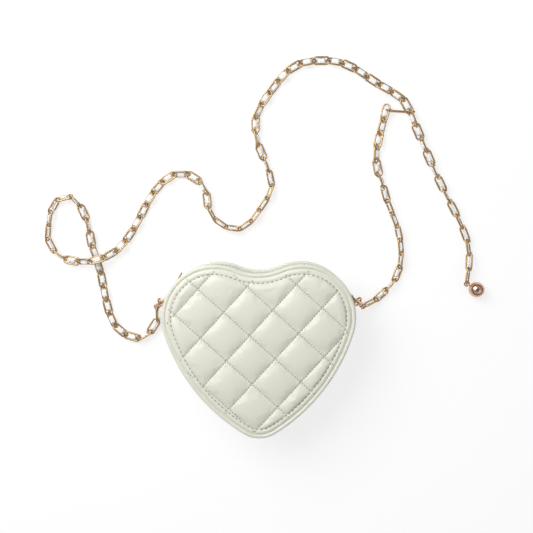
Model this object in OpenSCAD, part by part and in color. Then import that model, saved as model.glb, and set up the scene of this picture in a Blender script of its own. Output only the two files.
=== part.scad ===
// Heart shaped quilted purse lying on its back, with a zip over the lobes and
// a woven chain strap clipped to a D ring at each side. Millimetres, +Z up
// through the front panel, +Y from the tip to the lobes, origin under the
// middle of the back panel.

/* [Bag] */
// Width of the heart over its piping
bag_w = 130; // [110:1:160]
// Height of the heart from the tip to the tops of the lobes
bag_h = 117.4; // [105:0.1:135]
// Depth from the back face to the border of the front panel
bag_d = 43; // [32:1:60]
// Radius of each lobe
lobe_r = 35.75; // [32:0.25:38]
// Radius of each long side
side_r = 123; // [110:1:150]
// Radius of the tip
tip_r = 20.2; // [16:0.2:24]
// Drop of the notch below the lobes
notch_depth = 6; // [4:0.5:9]

/* [Leather, board and lining] */
// Radius of the piping cord
piping_r = 1.5; // [1:0.1:2]
// Thickness of the panel leather
leather_t = 1; // [0.8:0.1:1.6]
// Thickness of the gusset leather
wall_t = 1.2; // [0.8:0.1:1.6]
// Thickness of the stiffening boards
board_t = 1.1; // [0.6:0.1:1.6]
// Thickness of the lining cloth
lining_t = 0.6; // [0.3:0.1:0.8]
// Thickness of the wadding under the quilted leather
wadding_t = 1; // [0.6:0.1:2]
// Step from the outer edge of the piping in to the gusset wall
wall_inset = 1.7; // [1:0.1:2.4]

/* [Quilting] */
// Half diagonal of a quilted diamond
diamond_half = 16.3; // [12:0.1:22]
// Turn of the quilting about the panel
quilt_turn = 2.4; // [-6:0.1:6]
// Rise of each pillow over the stitched lines
pillow_h = 2.3; // [1:0.1:4]
// Width of the flat border outside the edge stitching
border_w = 3.4; // [2:0.1:6]

/* [Zip] */
// Width of the gap between the two gusset strips
zip_gap = 6; // [5:0.5:9]
// Spacing of the zip teeth along the tape
tooth_pitch = 2.4; // [2:0.1:4]
// Width of one tooth along the tape
tooth_w = 0.7; // [0.4:0.1:0.9]
// Thickness of the teeth across the tape
tooth_t = 1.6; // [1.2:0.1:2]
// Length that each tooth reaches past its cord
tooth_reach = 1.3; // [1:0.1:1.6]
// Height of the cord that carries a row of teeth
tooth_cord = 0.7; // [0.5:0.1:1]
// Thickness of the zip tape
tape_t = 0.6; // [0.4:0.1:0.8]
// Width of each zip tape
tape_w = 8; // [6:0.5:10]
// Length of the slider
slider_l = 8; // [6:0.5:10]
// Width of the slider plates
slider_w = 5.2; // [4:0.1:6]
// Thickness of the slider plates
slider_t = 0.9; // [0.6:0.1:1.2]
// Length of the pull tab
pull_l = 12; // [8:1:16]
// Width of the pull tab
pull_w = 3.6; // [3:0.1:5]

/* [D rings and tabs] */
// Wire diameter of a D ring
ring_wire = 1.8; // [1.4:0.1:2.2]
// Inner width of a D ring
ring_inner = 10; // [8:0.5:12]
// Straight leg of a D ring before its bow
ring_leg = 3; // [1:0.5:4]
// Angle of a D ring out from the gusset
ring_out = 50; // [40:1:60]
// Width of a ring tab
tab_w = 9.2; // [7:0.1:9.6]
// Thickness of a ring tab, two layers of leather
tab_t = 2; // [1.6:0.1:2.6]

/* [Snap hooks] */
// Radius of the hook bow at the middle of its wire
bow_r = 3.3; // [2.8:0.1:4]
// Wire diameter of the hook bow
bow_wire = 1.6; // [1.2:0.1:2]
// Radius of the barrel
barrel_r = 1.5; // [1.2:0.1:2]
// Length of the barrel
barrel_l = 6; // [4:0.5:9]
// Radius of the swivel eye at the middle of its wire
eye_r = 2; // [1.7:0.1:2.5]
// Wire diameter of the swivel eye
eye_wire = 1.2; // [1:0.1:1.4]

/* [Chain] */
// Spacing of the links
link_pitch = 10.05; // [9:0.05:12]
// Outer width of a link
link_w = 6.4; // [5.6:0.1:7]
// Wire diameter of a link
link_wire = 1.1; // [1:0.1:1.3]
// Tilt of each link from the flat of the chain
link_tilt = 33; // [28:1:38]
// Width of the woven leather strip
strip_w = 2.4; // [1.6:0.1:2.8]
// Width of the woven leather strip where it passes under the links
strip_waist = 1.4; // [1:0.1:1.6]
// Thickness of the woven leather strip
strip_t = 0.6; // [0.4:0.1:0.8]

/* [Closure hook and ball charm] */
// Length of the closure hook shank
hook_l = 15.5; // [13:0.1:20]
// Wire radius of the closure hook
hook_r = 0.85; // [0.7:0.05:1.1]
// Inner radius of the curled tip
hook_curl = 1.3; // [1:0.1:2]
// Diameter of the ball
ball_d = 11.1; // [9:0.1:14]
// Radius of the eye on the ball at the middle of its wire
ball_eye_r = 1.7; // [1.4:0.1:2.2]
// Wire diameter of the eye on the ball
ball_eye_wire = 1; // [0.8:0.1:1.2]

/* [Hidden] */
$fn = 48;

// Fits
seam_gap = 0.05;
soft_gap = 0.3;
pin_gap = 0.1;
link_slack = 0.25;
run_step = 0.02;
strip_clear = 0.66;
floor_gap = 0.25;

// Steps along the arcs of the outline
notch_steps = 5;
lobe_steps = 18;
side_steps = 10;
tip_steps = 6;

// Centres and joints of the outline arcs, for the right half
half_h = bag_h / 2;
lobe_c = [bag_w / 2 - lobe_r, half_h - lobe_r];
tip_c = [0, tip_r - half_h];
notch_rise = half_h - notch_depth - lobe_c[1];
notch_r = (lobe_c[0] ^ 2 + notch_rise ^ 2 - lobe_r ^ 2) / (2 * (lobe_r - notch_rise));
notch_c = [0, half_h - notch_depth + notch_r];
centre_gap = norm(lobe_c - tip_c);
centre_dir = (lobe_c - tip_c) / centre_gap;
side_along = ((side_r - tip_r) ^ 2 - (side_r - lobe_r) ^ 2 + centre_gap ^ 2) / (2 * centre_gap);
side_across = sqrt((side_r - tip_r) ^ 2 - side_along ^ 2);
side_c = tip_c + side_along * centre_dir + side_across * [-centre_dir[1], centre_dir[0]];
notch_a = angle_of(lobe_c - notch_c);
lobe_top_a = angle_of(notch_c - lobe_c);
lobe_low_a = angle_of(lobe_c - side_c);
tip_a = angle_of(tip_c - side_c);

function angle_of(v) = atan2(v[1], v[0]);
function tail(v) = [for (i = [1:len(v) - 1]) v[i]];
function arc(c, r, a0, a1, n) =
  [for (i = [0:n]) let (a = a0 + (a1 - a0) * i / n) c + r * [cos(a), sin(a)]];

// Right half of the heart, drawn in by d, from the notch down to the tip
function right_edge(d) = concat(
  arc(notch_c, notch_r + d, -90, notch_a, notch_steps),
  tail(arc(lobe_c, lobe_r - d, lobe_top_a, lobe_low_a, lobe_steps)),
  tail(arc(side_c, side_r - d, lobe_low_a, tip_a, side_steps)),
  tail(arc(tip_c, tip_r - d, tip_a, -90, tip_steps)));

function heart(d) = let (r = right_edge(d))
  concat(r, [for (i = [len(r) - 2:-1:1]) [-r[i][0], r[i][1]]]);

// Heights, from the back face up
panel_inset = 2 * piping_r + seam_gap;
board_inset = panel_inset + wall_t;
back_piping_z = piping_r + 0.2 * leather_t;
back_board_z = leather_t + 0.4 * leather_t;
back_lining_z = back_board_z + board_t;
wall_z0 = back_piping_z + piping_r + seam_gap;
panel_z = bag_d - leather_t;
front_piping_z = bag_d - piping_r - 0.2 * leather_t;
wadding_z = panel_z - wadding_t;
front_board_z = wadding_z - board_t;
front_lining_z = front_board_z - lining_t;
wall_z1 = front_piping_z - piping_r - seam_gap;
lower_wall_z1 = wall_z1 - soft_gap;
zip_z = (wall_z0 + wall_z1) / 2;
lining_inset = wall_inset + wall_t;
inner_inset = lining_inset + lining_t;

// Angles of the side fittings round a lobe, from +X
split_a = 10;
tab_low_a = 2;
ring_a = 19.5;
stop_a = 22.5;
slider_a = 32;
zip_end_a = slider_a + 8;
split_y = lobe_c[1] + lobe_r * sin(split_a);

module heart_slab(d, z0, z1) {
  translate([0, 0, z0])
    linear_extrude(z1 - z0)
      polygon(heart(d));
}

module heart_band(d0, d1) {
  difference() {
    polygon(heart(d0));
    polygon(heart(d1));
  }
}

module upper_band(d0, d1, z0, z1) {
  translate([0, 0, z0])
    linear_extrude(z1 - z0)
      intersection() {
        heart_band(d0, d1);
        translate([-bag_w, split_y])
          square([2 * bag_w, bag_h]);
      }
}

module lower_band(d0, d1, z0, z1) {
  translate([0, 0, z0])
    linear_extrude(z1 - z0)
      intersection() {
        heart_band(d0, d1);
        translate([-bag_w, split_y - soft_gap - 2 * bag_h])
          square([2 * bag_w, 2 * bag_h]);
      }
}

// Piping: one round cord swept along the outline, with a ring square to the
// outline at each of its points
piping_sides = 8;
module piping(z) {
  inner = heart(2 * piping_r);
  outer = heart(0);
  n = len(outer);
  points = [for (i = [0:n - 1], j = [0:piping_sides - 1])
    let (a = 360 * (j + 0.5) / piping_sides,
      c = (outer[i] + inner[i]) / 2 + (outer[i] - inner[i]) / 2 * cos(a))
    [c[0], c[1], z + piping_r * sin(a)]];
  faces = [for (i = [0:n - 1], j = [0:piping_sides - 1])
    let (k = (i + 1) % n, l = (j + 1) % piping_sides, m = piping_sides)
    each [[m * i + j, m * k + j, m * k + l], [m * i + j, m * k + l, m * i + l]]];
  polyhedron(points, faces, convexity = 6);
}

module back_panel() {
  color("ivory")
    heart_slab(panel_inset, 0, back_board_z);
}

module back_piping() {
  color("ivory")
    piping(back_piping_z);
}

module back_board() {
  color("tan")
    heart_slab(board_inset, back_board_z, back_lining_z);
}

module back_lining() {
  color("gainsboro")
    heart_slab(board_inset, back_lining_z, back_lining_z + lining_t);
}

module lower_gusset() {
  color("ivory")
    lower_band(wall_inset, lining_inset, wall_z0, lower_wall_z1);
}

module gusset_lining() {
  color("gainsboro")
    lower_band(lining_inset, inner_inset, back_lining_z + lining_t, lower_wall_z1);
}

module rear_gusset_strip() {
  color("ivory")
    upper_band(wall_inset, lining_inset, wall_z0, zip_z - zip_gap / 2);
}

module front_gusset_strip() {
  color("ivory")
    upper_band(wall_inset, lining_inset, zip_z + zip_gap / 2, wall_z1);
}

// Zip: each tape carries a cord with teeth that reach between the other row's
tape_edge = tooth_reach / 2 + seam_gap + tooth_cord;
tooth_inset = lining_inset + tape_t / 2 - tooth_t / 2;

module rear_zip_tape() {
  color("whitesmoke")
    upper_band(lining_inset, lining_inset + tape_t, zip_z - tape_edge - tape_w, zip_z - tape_edge);
}

module front_zip_tape() {
  color("whitesmoke")
    upper_band(lining_inset, lining_inset + tape_t, zip_z + tape_edge, zip_z + tape_edge + tape_w);
}

// One tooth on the rear row, at radius r and angle a about c
module tooth(c, r, a) {
  translate([c[0], c[1], zip_z - tooth_reach / 2 - tooth_cord / 2])
    rotate([0, 0, a])
      translate([r - tooth_t / 2, -tooth_w / 2, 0])
        cube([tooth_t, tooth_w, tooth_reach + tooth_cord / 2]);
}

// A row of teeth along one arc, with the first set back by a share of the pitch
module tooth_arc(c, r, a0, a1, first_share) {
  count = floor(r * (a1 - a0) * PI / 180 / tooth_pitch);
  for (i = [0:count - 1])
    tooth(c, r, a0 + (a1 - a0) * (i + first_share) / count);
}

module tooth_row(first_share) {
  upper_row_y = lobe_c[1] + (lobe_r - tooth_inset - tooth_t) * sin(zip_end_a);
  intersection() {
    upper_band(tooth_inset, tooth_inset + tooth_t, zip_z - tooth_reach / 2 - tooth_cord - seam_gap / 2,
      zip_z - tooth_reach / 2);
    translate([-bag_w, upper_row_y, 0])
      cube([2 * bag_w, bag_h, bag_d]);
  }
  row_in = tooth_inset + tooth_t / 2;
  tooth_arc(notch_c, notch_r + row_in, -180 - notch_a, notch_a, first_share);
  for (side = [0, 1])
    mirror([side, 0, 0])
      tooth_arc(lobe_c, lobe_r - row_in, zip_end_a + 1, lobe_top_a,
        side == 0 ? first_share : 1 - first_share);
}

module rear_zip_teeth() {
  color("white")
    tooth_row(0.25);
}

module front_zip_teeth() {
  color("white")
    translate([0, 0, 2 * zip_z])
      mirror([0, 0, 1])
        tooth_row(0.75);
}

module zip_end_stops() {
  color("gold")
    for (side = [0, 1])
      mirror([side, 0, 0])
        translate([lobe_c[0], lobe_c[1], zip_z - tape_edge])
          rotate([0, 0, stop_a])
            translate([lobe_r - tooth_inset - tooth_t, -tooth_w, 0])
              cube([tooth_t, 2 * tooth_w, tape_edge]);
}

// Slider: an outer and an inner plate joined by a thin divider at its tail
slider_clear = 0.35;
plate_out_r = lobe_r - tooth_inset + slider_clear;
plate_in_r = lobe_r - tooth_inset - tooth_t - slider_clear;
divider_t = 0.3;
pull_pin_r = 0.5;
pull_ear_t = 0.6;
pull_knuckle_r = 1;
pull_pin_x = plate_out_r + slider_t + pull_knuckle_r + pin_gap;

module on_left_lobe(a) {
  mirror([1, 0, 0])
    translate([lobe_c[0], lobe_c[1], zip_z])
      rotate([0, 0, a])
        children();
}

module slider_plate(r) {
  translate([r, -slider_l / 2, -slider_w / 2])
    cube([slider_t, slider_l, slider_w]);
}

module zip_slider() {
  color("gold")
    on_left_lobe(slider_a) {
      slider_plate(plate_out_r);
      slider_plate(plate_in_r - slider_t);
      translate([plate_in_r - slider_t / 2, -slider_l / 2, tooth_reach / 2 + seam_gap])
        cube([plate_out_r - plate_in_r + slider_t, tooth_w, divider_t]);
      for (side = [0, 1])
        mirror([0, 0, side])
          translate([0, 0, slider_w / 2 - pull_ear_t]) {
            translate([pull_pin_x, 0, 0])
              cylinder(r = pull_knuckle_r, h = pull_ear_t);
            translate([plate_out_r, -pull_knuckle_r, 0])
              cube([pull_pin_x - plate_out_r, 2 * pull_knuckle_r, pull_ear_t]);
          }
      translate([pull_pin_x, 0, -slider_w / 2])
        cylinder(r = pull_pin_r, h = slider_w);
    }
}

pull_t = 0.9;
knuckle_h = slider_w - 2 * pull_ear_t - 2 * pin_gap;

module zip_pull() {
  color("gold")
    on_left_lobe(slider_a)
      translate([pull_pin_x, 0, 0])
        difference() {
          union() {
            translate([0, 0, -knuckle_h / 2])
              cylinder(r = pull_knuckle_r, h = knuckle_h);
            translate([-pull_t / 2, 0, -pull_w / 2])
              cube([pull_t, pull_l - pull_w / 2, pull_w]);
            translate([-pull_t / 2, pull_l - pull_w / 2, 0])
              rotate([0, 90, 0])
                cylinder(r = pull_w / 2, h = pull_t);
          }
          translate([0, 0, -knuckle_h])
            cylinder(r = pull_pin_r + pin_gap, h = 2 * knuckle_h);
          translate([-pull_t, pull_l - pull_w / 2, 0])
            rotate([0, 90, 0])
              cylinder(r = pull_w / 4, h = 2 * pull_t);
          for (side = [0, 1])
            mirror([0, 0, side])
              translate([-pull_t, -pull_knuckle_r, knuckle_h / 2])
                cube([2 * pull_t, 2 * pull_knuckle_r + 2 * pin_gap, pull_w]);
        }
}

// Ring tab: leather folded round the bar of the D ring and sewn to the gusset
bar_r = ring_wire / 2;
tab_in_r = lobe_r - wall_inset + seam_gap;
loop_r = tab_t - seam_gap;
bar_x = tab_in_r + loop_r;
bar_at = lobe_c + bar_x * [cos(ring_a), sin(ring_a)];

module tab_wedge() {
  reach = 2 * lobe_r;
  polygon([[0, 0], reach * [cos(tab_low_a), sin(tab_low_a)], reach * [cos(ring_a), sin(ring_a)]]);
}

module ring_tab() {
  difference() {
    union() {
      translate([lobe_c[0], lobe_c[1], zip_z - tab_w / 2])
        linear_extrude(tab_w)
          intersection() {
            difference() {
              circle(tab_in_r + tab_t, $fn = 96);
              circle(tab_in_r, $fn = 96);
            }
            tab_wedge();
          }
      translate([bar_at[0], bar_at[1], zip_z - tab_w / 2])
        cylinder(r = loop_r, h = tab_w);
    }
    translate([bar_at[0], bar_at[1], zip_z - tab_w])
      cylinder(r = bar_r + pin_gap, h = 2 * tab_w);
  }
}

module right_ring_tab() {
  color("ivory")
    ring_tab();
}

module left_ring_tab() {
  color("ivory")
    mirror([1, 0, 0])
      ring_tab();
}

// D ring: a straight bar, two short legs and a round bow
ring_bow_r = ring_inner / 2 + bar_r;

module at_ring() {
  translate([bar_at[0], bar_at[1], zip_z])
    rotate([0, 0, ring_out - 90])
      children();
}

module d_ring() {
  at_ring() {
    translate([0, 0, -ring_bow_r - bar_r])
      cylinder(r = bar_r, h = 2 * ring_bow_r + 2 * bar_r);
    for (side = [-1, 1])
      translate([0, 0, side * ring_bow_r])
        rotate([0, 90, 0])
          cylinder(r = bar_r, h = ring_leg);
    translate([ring_leg, 0, 0])
      rotate([90, 90, 0])
        rotate_extrude(angle = 180)
          translate([ring_bow_r, 0])
            circle(bar_r);
  }
}

module right_d_ring() {
  color("gold")
    d_ring();
}

module left_d_ring() {
  color("gold")
    mirror([1, 0, 0])
      d_ring();
}

// Snap hook, hanging from the low side of the D ring, with its bow at the
// ring's wire and its swivel eye down by the floor
hang_a = 55;
ring_play = 0.3;
bow_x = bow_r - bar_r - bow_wire / 2 - ring_play;
barrel_x = bow_x + bow_r;
collar_r = 1.9;
collar_l = 1.2;
neck_r = 0.7;
neck_l = 1.6;
eye_x = barrel_x + barrel_l + neck_l + eye_r - eye_wire / 4;
pivot_a = 15;
gate_tip_a = 90;
gate_root_a = 21;
gate_wire = 1.2;
tip_gap = 0.3;
gate_reach = 2 * bow_r * sin((gate_tip_a - pivot_a) / 2);
pivot_at = [bow_x + bow_r * cos(pivot_a), bow_r * sin(pivot_a)];
gate_knuckle_r = 0.9;
gate_knuckle_h = 1.5;
gate_ear_t = 0.6;
gate_pin_r = 0.4;

module at_snap() {
  at_ring()
    translate([ring_leg, 0, 0])
      rotate([0, hang_a, 0])
        translate([ring_bow_r, 0, 0])
          children();
}

module bow_arc(a0, a1, wire) {
  translate([bow_x, 0, 0])
    rotate([0, 0, a0])
      rotate_extrude(angle = a1 - a0)
        translate([bow_r, 0])
          circle(wire / 2);
}

// Round cut about the gate's pin, so that the gate swings in past the nose
module gate_swing(r) {
  translate([pivot_at[0], pivot_at[1], -bow_wire])
    cylinder(r = r, h = 2 * bow_wire);
}

module snap_hook() {
  ear_h = gate_knuckle_h + 2 * gate_ear_t;
  at_snap() {
    difference() {
      union() {
        difference() {
          bow_arc(gate_tip_a - gate_root_a, 360 - pivot_a, bow_wire);
          intersection() {
            gate_swing(gate_reach + tip_gap);
            translate([-bow_r, 0, -bow_wire])
              cube([3 * bow_r, 2 * bow_r, 2 * bow_wire]);
          }
        }
        translate([barrel_x - bow_wire / 2, 0, 0])
          rotate([0, 90, 0])
            cylinder(r = barrel_r, h = barrel_l);
        translate([barrel_x - bow_wire / 2 + barrel_l - collar_l, 0, 0])
          rotate([0, 90, 0])
            cylinder(r = collar_r, h = collar_l);
        translate([pivot_at[0], pivot_at[1], -ear_h / 2])
          cylinder(r = gate_knuckle_r + pin_gap, h = ear_h);
      }
      translate([pivot_at[0], pivot_at[1], -gate_knuckle_h / 2 - pin_gap])
        cylinder(r = gate_knuckle_r + 2 * pin_gap, h = gate_knuckle_h + 2 * pin_gap);
    }
    translate([pivot_at[0], pivot_at[1], -ear_h / 2])
      cylinder(r = gate_pin_r, h = ear_h);
    translate([barrel_x - bow_wire / 2 + barrel_l, 0, 0])
      rotate([0, 90, 0])
        cylinder(r = neck_r, h = neck_l + bow_wire / 2);
    translate([eye_x, 0, 0])
      rotate_extrude()
        translate([eye_r, 0])
          circle(eye_wire / 2);
  }
}

module snap_gate() {
  at_snap()
    difference() {
      union() {
        intersection() {
          bow_arc(gate_root_a, gate_tip_a + gate_root_a, gate_wire);
          gate_swing(gate_reach);
        }
        translate([pivot_at[0], pivot_at[1], -gate_knuckle_h / 2])
          cylinder(r = gate_knuckle_r, h = gate_knuckle_h);
      }
      translate([pivot_at[0], pivot_at[1], -gate_knuckle_h])
        cylinder(r = gate_pin_r + pin_gap, h = 2 * gate_knuckle_h);
    }
}

module right_snap_hook() {
  color("rosybrown")
    snap_hook();
}

module left_snap_hook() {
  color("rosybrown")
    mirror([1, 0, 0])
      snap_hook();
}

module right_snap_gate() {
  color("rosybrown")
    snap_gate();
}

module left_snap_gate() {
  color("rosybrown")
    mirror([1, 0, 0])
      snap_gate();
}

// Middle of the swivel eye of the right snap hook
hang = [cos(hang_a) * sin(ring_out), -cos(hang_a) * cos(ring_out), -sin(hang_a)];
bow_at = [bar_at[0], bar_at[1], zip_z] + ring_leg * [sin(ring_out), -cos(ring_out), 0]
  + ring_bow_r * hang;
swivel_at = bow_at + eye_x * hang;

// Routes of the two strands on the floor: x, y, lift and roll of the chain
left_route = [
  [-74.2, 15.5, 0, 64], [-80.5, 6.8, 0, 16], [-87.5, 3.1, 0, 34], [-101.5, 8.5, 0, 8],
  [-109, 22.5, 0, 4], [-115, 54, 0, 10], [-120, 70, 0, 32], [-123, 88, 0, 60], [-130, 102, 0, 82],
  [-138, 106, 0, 90], [-147, 100, 0, 88], [-151, 85, 0, 78], [-151, 72, 0, 62], [-142, 62, 0, 44],
  [-130, 59, 2, 22], [-117, 60, 6, 5], [-103, 66, 2, 0], [-90, 82, 0, 0], [-76, 107, 0, 2],
  [-63.5, 119.5, 0, 16], [-51, 121, 0, 18], [-41.5, 115, 0, 34], [-38, 110.5, 0, 22],
  [-35.5, 94.5, 0, 70], [-26, 84, 0, 90], [-12, 82, 0, 90], [-2, 92, 0, 90], [9, 110, 0, 84],
  [6, 126, 0, 66], [0, 140, 0, 46], [-2, 160, 0, 22], [10, 180, 0, 4], [28, 197, 0, 0],
  [58, 198, 0, 0], [84, 183, 0, 6], [102, 171, 2, 26], [109, 156, 2, 42], [126, 118, 0, 70],
  [148, 72, 0, 90], [147.4, 42.6, 2.2, 90]];
right_route = [
  [80, 28, 0, 72], [86.5, 33.5, 0, 60], [93, 40, 0, 54], [98, 47, 0, 58], [101, 58, 0, 72],
  [101, 68, 0, 84], [99, 80, 0, 90], [95, 91, 0, 86], [91, 101, 0, 70], [88, 112, 0, 52],
  [84, 123, 0, 32], [83, 134, 0, 14], [85, 145, 0, 2], [88.2, 157.5, 0, 0],
  [90.4, 167.4, 0.6, 0]];

// Smooth curve through the points of a route
route_steps = 10;
function curve_point(p0, p1, p2, p3, t) = 0.5 * (2 * p1 + (p2 - p0) * t
  + (2 * p0 - 5 * p1 + 4 * p2 - p3) * t ^ 2 + (3 * p1 - p0 - 3 * p2 + p3) * t ^ 3);
function smooth(p) = let (n = len(p)) concat([for (i = [0:n - 2], j = [0:route_steps - 1])
  curve_point(p[max(i - 1, 0)], p[i], p[i + 1], p[min(i + 2, n - 1)], j / route_steps)], [p[n - 1]]);

// The chain's middle stands as high as its roll and its strip need
bow_half = (link_w - link_wire) / 2;
strip_drop = (strip_waist / 2) * tan(link_tilt) + link_wire / (2 * cos(link_tilt)) + strip_t / 2
  + strip_clear;
function chain_z(lift, roll) = floor_gap + max(lift, 0) + max(strip_drop + strip_t / 2,
  bow_half * sin(min(90, abs(roll) + link_tilt)) + link_wire / 2);
function on_floor(p) = [for (q = p) [q[0], q[1], chain_z(q[2], q[3]), q[3]]];
function flat(q) = [q[0], q[1], q[2]];

// Distance run at each point of a curve, and the place at a given distance
function runs(p) = [for (i = 0, s = 0; i < len(p);
  s = s + (i + 1 < len(p) ? norm(flat(p[i + 1]) - flat(p[i])) : 0), i = i + 1) s];
function table(p, s, k) = [for (i = [0:len(p) - 1]) [s[i], p[i][k]]];
function spread(p, count) = let (s = runs(p), total = s[len(s) - 1],
  tables = [for (k = [0:3]) table(p, s, k)])
  [for (i = [0:count]) [for (k = [0:3]) lookup(total * i / count, tables[k])]];
function run_length(p) = let (s = runs(p)) s[len(s) - 1];

// First joint of each strand, from the middle of its swivel eye
left_start = [0.1, 0.3, 0, 44];
right_start = [0.5, 0.5, 0.4, 88];
left_line = on_floor(smooth(concat([[-swivel_at[0], swivel_at[1], 0, 0] + left_start], left_route)));
right_line = on_floor(smooth(concat([[swivel_at[0], swivel_at[1], 0, 0] + right_start], right_route)));
left_count = round(run_length(left_line) / link_pitch);
right_count = round(run_length(right_line) / link_pitch);
left_joints = spread(left_line, left_count);
right_joints = spread(right_line, right_count);
echo(left_chain = run_length(left_line), left_links = left_count);
echo(right_chain = run_length(right_line), right_links = right_count);

// One link, long along X, with its round ends hooked past the joints
function link_run(a, b) =
  run_step * round((norm(flat(b) - flat(a)) + link_wire + 2 * link_slack) / run_step);

module link_end(run) {
  translate([run / 2 - bow_half, 0, 0])
    rotate([0, 0, -90])
      rotate_extrude(angle = 180, $fn = 24)
        translate([bow_half, 0])
          circle(link_wire / 2, $fn = 16);
}

module link(run) {
  link_end(run);
  mirror([1, 0, 0])
    link_end(run);
  for (side = [-1, 1])
    translate([-run / 2 + bow_half, side * bow_half, 0])
      rotate([0, 90, 0])
        cylinder(r = link_wire / 2, h = run - 2 * bow_half, $fn = 16);
}

module chain_links(p) {
  for (i = [0:len(p) - 2]) {
    a = flat(p[i]);
    b = flat(p[i + 1]);
    d = b - a;
    tilt = i % 2 == 0 ? link_tilt : -link_tilt;
    translate((a + b) / 2)
      rotate([0, -asin(d[2] / norm(d)), atan2(d[1], d[0])])
        rotate([(p[i][3] + p[i + 1][3]) / 2 + tilt, 0, 0])
          link(link_run(p[i], p[i + 1]));
  }
}

// Woven strip: under each crossing of two links and up through the windows
weave_low = link_wire + link_slack + strip_t / 4;
weave_high = 3.3;
pad_rise = 0.3;
function weave_ring(a, b, run, rise, width) = let (d = (flat(b) - flat(a)) / norm(flat(b) - flat(a)),
  roll = a[3] + (b[3] - a[3]) * run / norm(flat(b) - flat(a)), h = atan2(d[1], d[0]),
  side = [-sin(h) * cos(roll), cos(h) * cos(roll), sin(roll)], up = cross(d, side),
  middle = flat(a) + d * run + up * rise)
  [for (c = [[-1, -1], [1, -1], [1, 1], [-1, 1]])
    middle + side * c[0] * width / 2 + up * c[1] * strip_t / 2];
function weave_link(a, b) = let (length = norm(flat(b) - flat(a)))
  [weave_ring(a, b, weave_low, -strip_drop, strip_waist),
   weave_ring(a, b, weave_high, pad_rise, strip_w),
   weave_ring(a, b, length - weave_high, pad_rise, strip_w),
   weave_ring(a, b, length - weave_low, -strip_drop, strip_waist)];

module strip(p) {
  rings = [for (i = [0:len(p) - 2], r = weave_link(p[i], p[i + 1])) r];
  n = len(rings) - 3;
  points = [for (i = [1:n], q = rings[i]) q];
  last = 4 * (n - 1);
  faces = concat([[0, 1, 2], [0, 2, 3], [last, last + 2, last + 1], [last, last + 3, last + 2]],
    [for (i = [0:n - 2], j = [0:3]) [4 * i + j, 4 * i + 4 + (j + 1) % 4, 4 * i + (j + 1) % 4]],
    [for (i = [0:n - 2], j = [0:3]) [4 * i + j, 4 * i + 4 + j, 4 * i + 4 + (j + 1) % 4]]);
  polyhedron(points, faces, convexity = 10);
}

module left_chain_links() {
  color("gold")
    chain_links(left_joints);
}

module right_chain_links() {
  color("gold")
    chain_links(right_joints);
}

module left_woven_strip() {
  color("white")
    strip(left_joints);
}

module right_woven_strip() {
  color("white")
    strip(right_joints);
}

// Closure hook: an eye on the right strand, a shank on the floor under the
// left strand and a tip curled up on its far side
hook_joint = right_joints[right_count];
hook_heading = -4;
hook_eye_r = 2.1;
hook_eye_wire = 1.1;
hook_from_joint = [1.5, -3, 0.65];
hook_at = flat(hook_joint) + hook_from_joint;
hook_curl_r = hook_curl + hook_r;
hook_curl_a = 100;

module closure_hook() {
  color("gold")
    translate([hook_at[0], hook_at[1], 0])
      rotate([0, 0, hook_heading]) {
        translate([0, 0, hook_at[2]])
          rotate([90, 0, 0])
            rotate_extrude()
              translate([hook_eye_r, 0])
                circle(hook_eye_wire / 2);
        translate([0, 0, hook_r])
          rotate([0, 90, 0])
            cylinder(r = hook_r, h = hook_l);
        translate([hook_l, 0, hook_r + hook_curl_r])
          rotate([90, 0, 0])
            rotate([0, 0, -90])
              rotate_extrude(angle = hook_curl_a)
                translate([hook_curl_r, 0])
                  circle(hook_r);
      }
}

// Ball charm on the end of the left strand
charm_joint = left_joints[left_count];
charm_heading = -32;
charm_from_joint = [0, -0.75];
charm_at = [charm_joint[0], charm_joint[1]] + charm_from_joint;
charm_neck_l = 1;
ball_x = ball_eye_r + charm_neck_l + ball_d / 2;

module at_charm() {
  translate([charm_at[0], charm_at[1], ball_d / 2])
    rotate([0, 0, charm_heading])
      children();
}

module charm_eye() {
  color("rosybrown")
    at_charm() {
      rotate_extrude()
        translate([ball_eye_r, 0])
          circle(ball_eye_wire / 2);
      translate([ball_eye_r, 0, 0])
        rotate([0, 90, 0])
          cylinder(r = ball_eye_wire / 2, h = charm_neck_l);
    }
}

module ball_charm() {
  color("rosybrown")
    at_charm()
      difference() {
        translate([ball_x, 0, 0])
          sphere(d = ball_d);
        translate([ball_x - ball_d, 0, 0])
          rotate([0, 90, 0])
            cylinder(r = ball_eye_wire / 2 + seam_gap / 2, h = ball_d / 2 + seam_gap);
      }
}

// Quilted front: two ribbed sheets crossed into pillows, rounded at the edge
rib_pitch = diamond_half * sqrt(2);
rib_steps = 8;
rib_cells = 5;
quilt_node = [-0.28 * diamond_half, -1.31 * diamond_half];
pillow_z = bag_d - 0.1 * pillow_h;
rib_power = 2.6;
function rib(t) = 1 - abs(2 * t - 1) ^ rib_power;

module ribs(turn) {
  reach = rib_cells * rib_pitch;
  top = [for (i = [-rib_cells * rib_steps:rib_cells * rib_steps])
    let (t = i / rib_steps) [t * rib_pitch, pillow_z + pillow_h * rib(t - floor(t))]];
  translate([quilt_node[0], quilt_node[1], 0])
    rotate([0, 0, turn])
      translate([0, reach, 0])
        rotate([90, 0, 0])
          linear_extrude(2 * reach)
            polygon(concat([[-reach, panel_z], for (q = top) q, [reach, panel_z]]));
}

// Round edge of the padding: heart outlines drawn in as they rise
edge_inset = panel_inset + border_w;
edge_in_shares = [0, 0, 0.35, 1, 2.2];
edge_up_shares = [-1, -0.1, 0.55, 0.9, 1.1];
edge_run = 1.6 * pillow_h;

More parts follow.
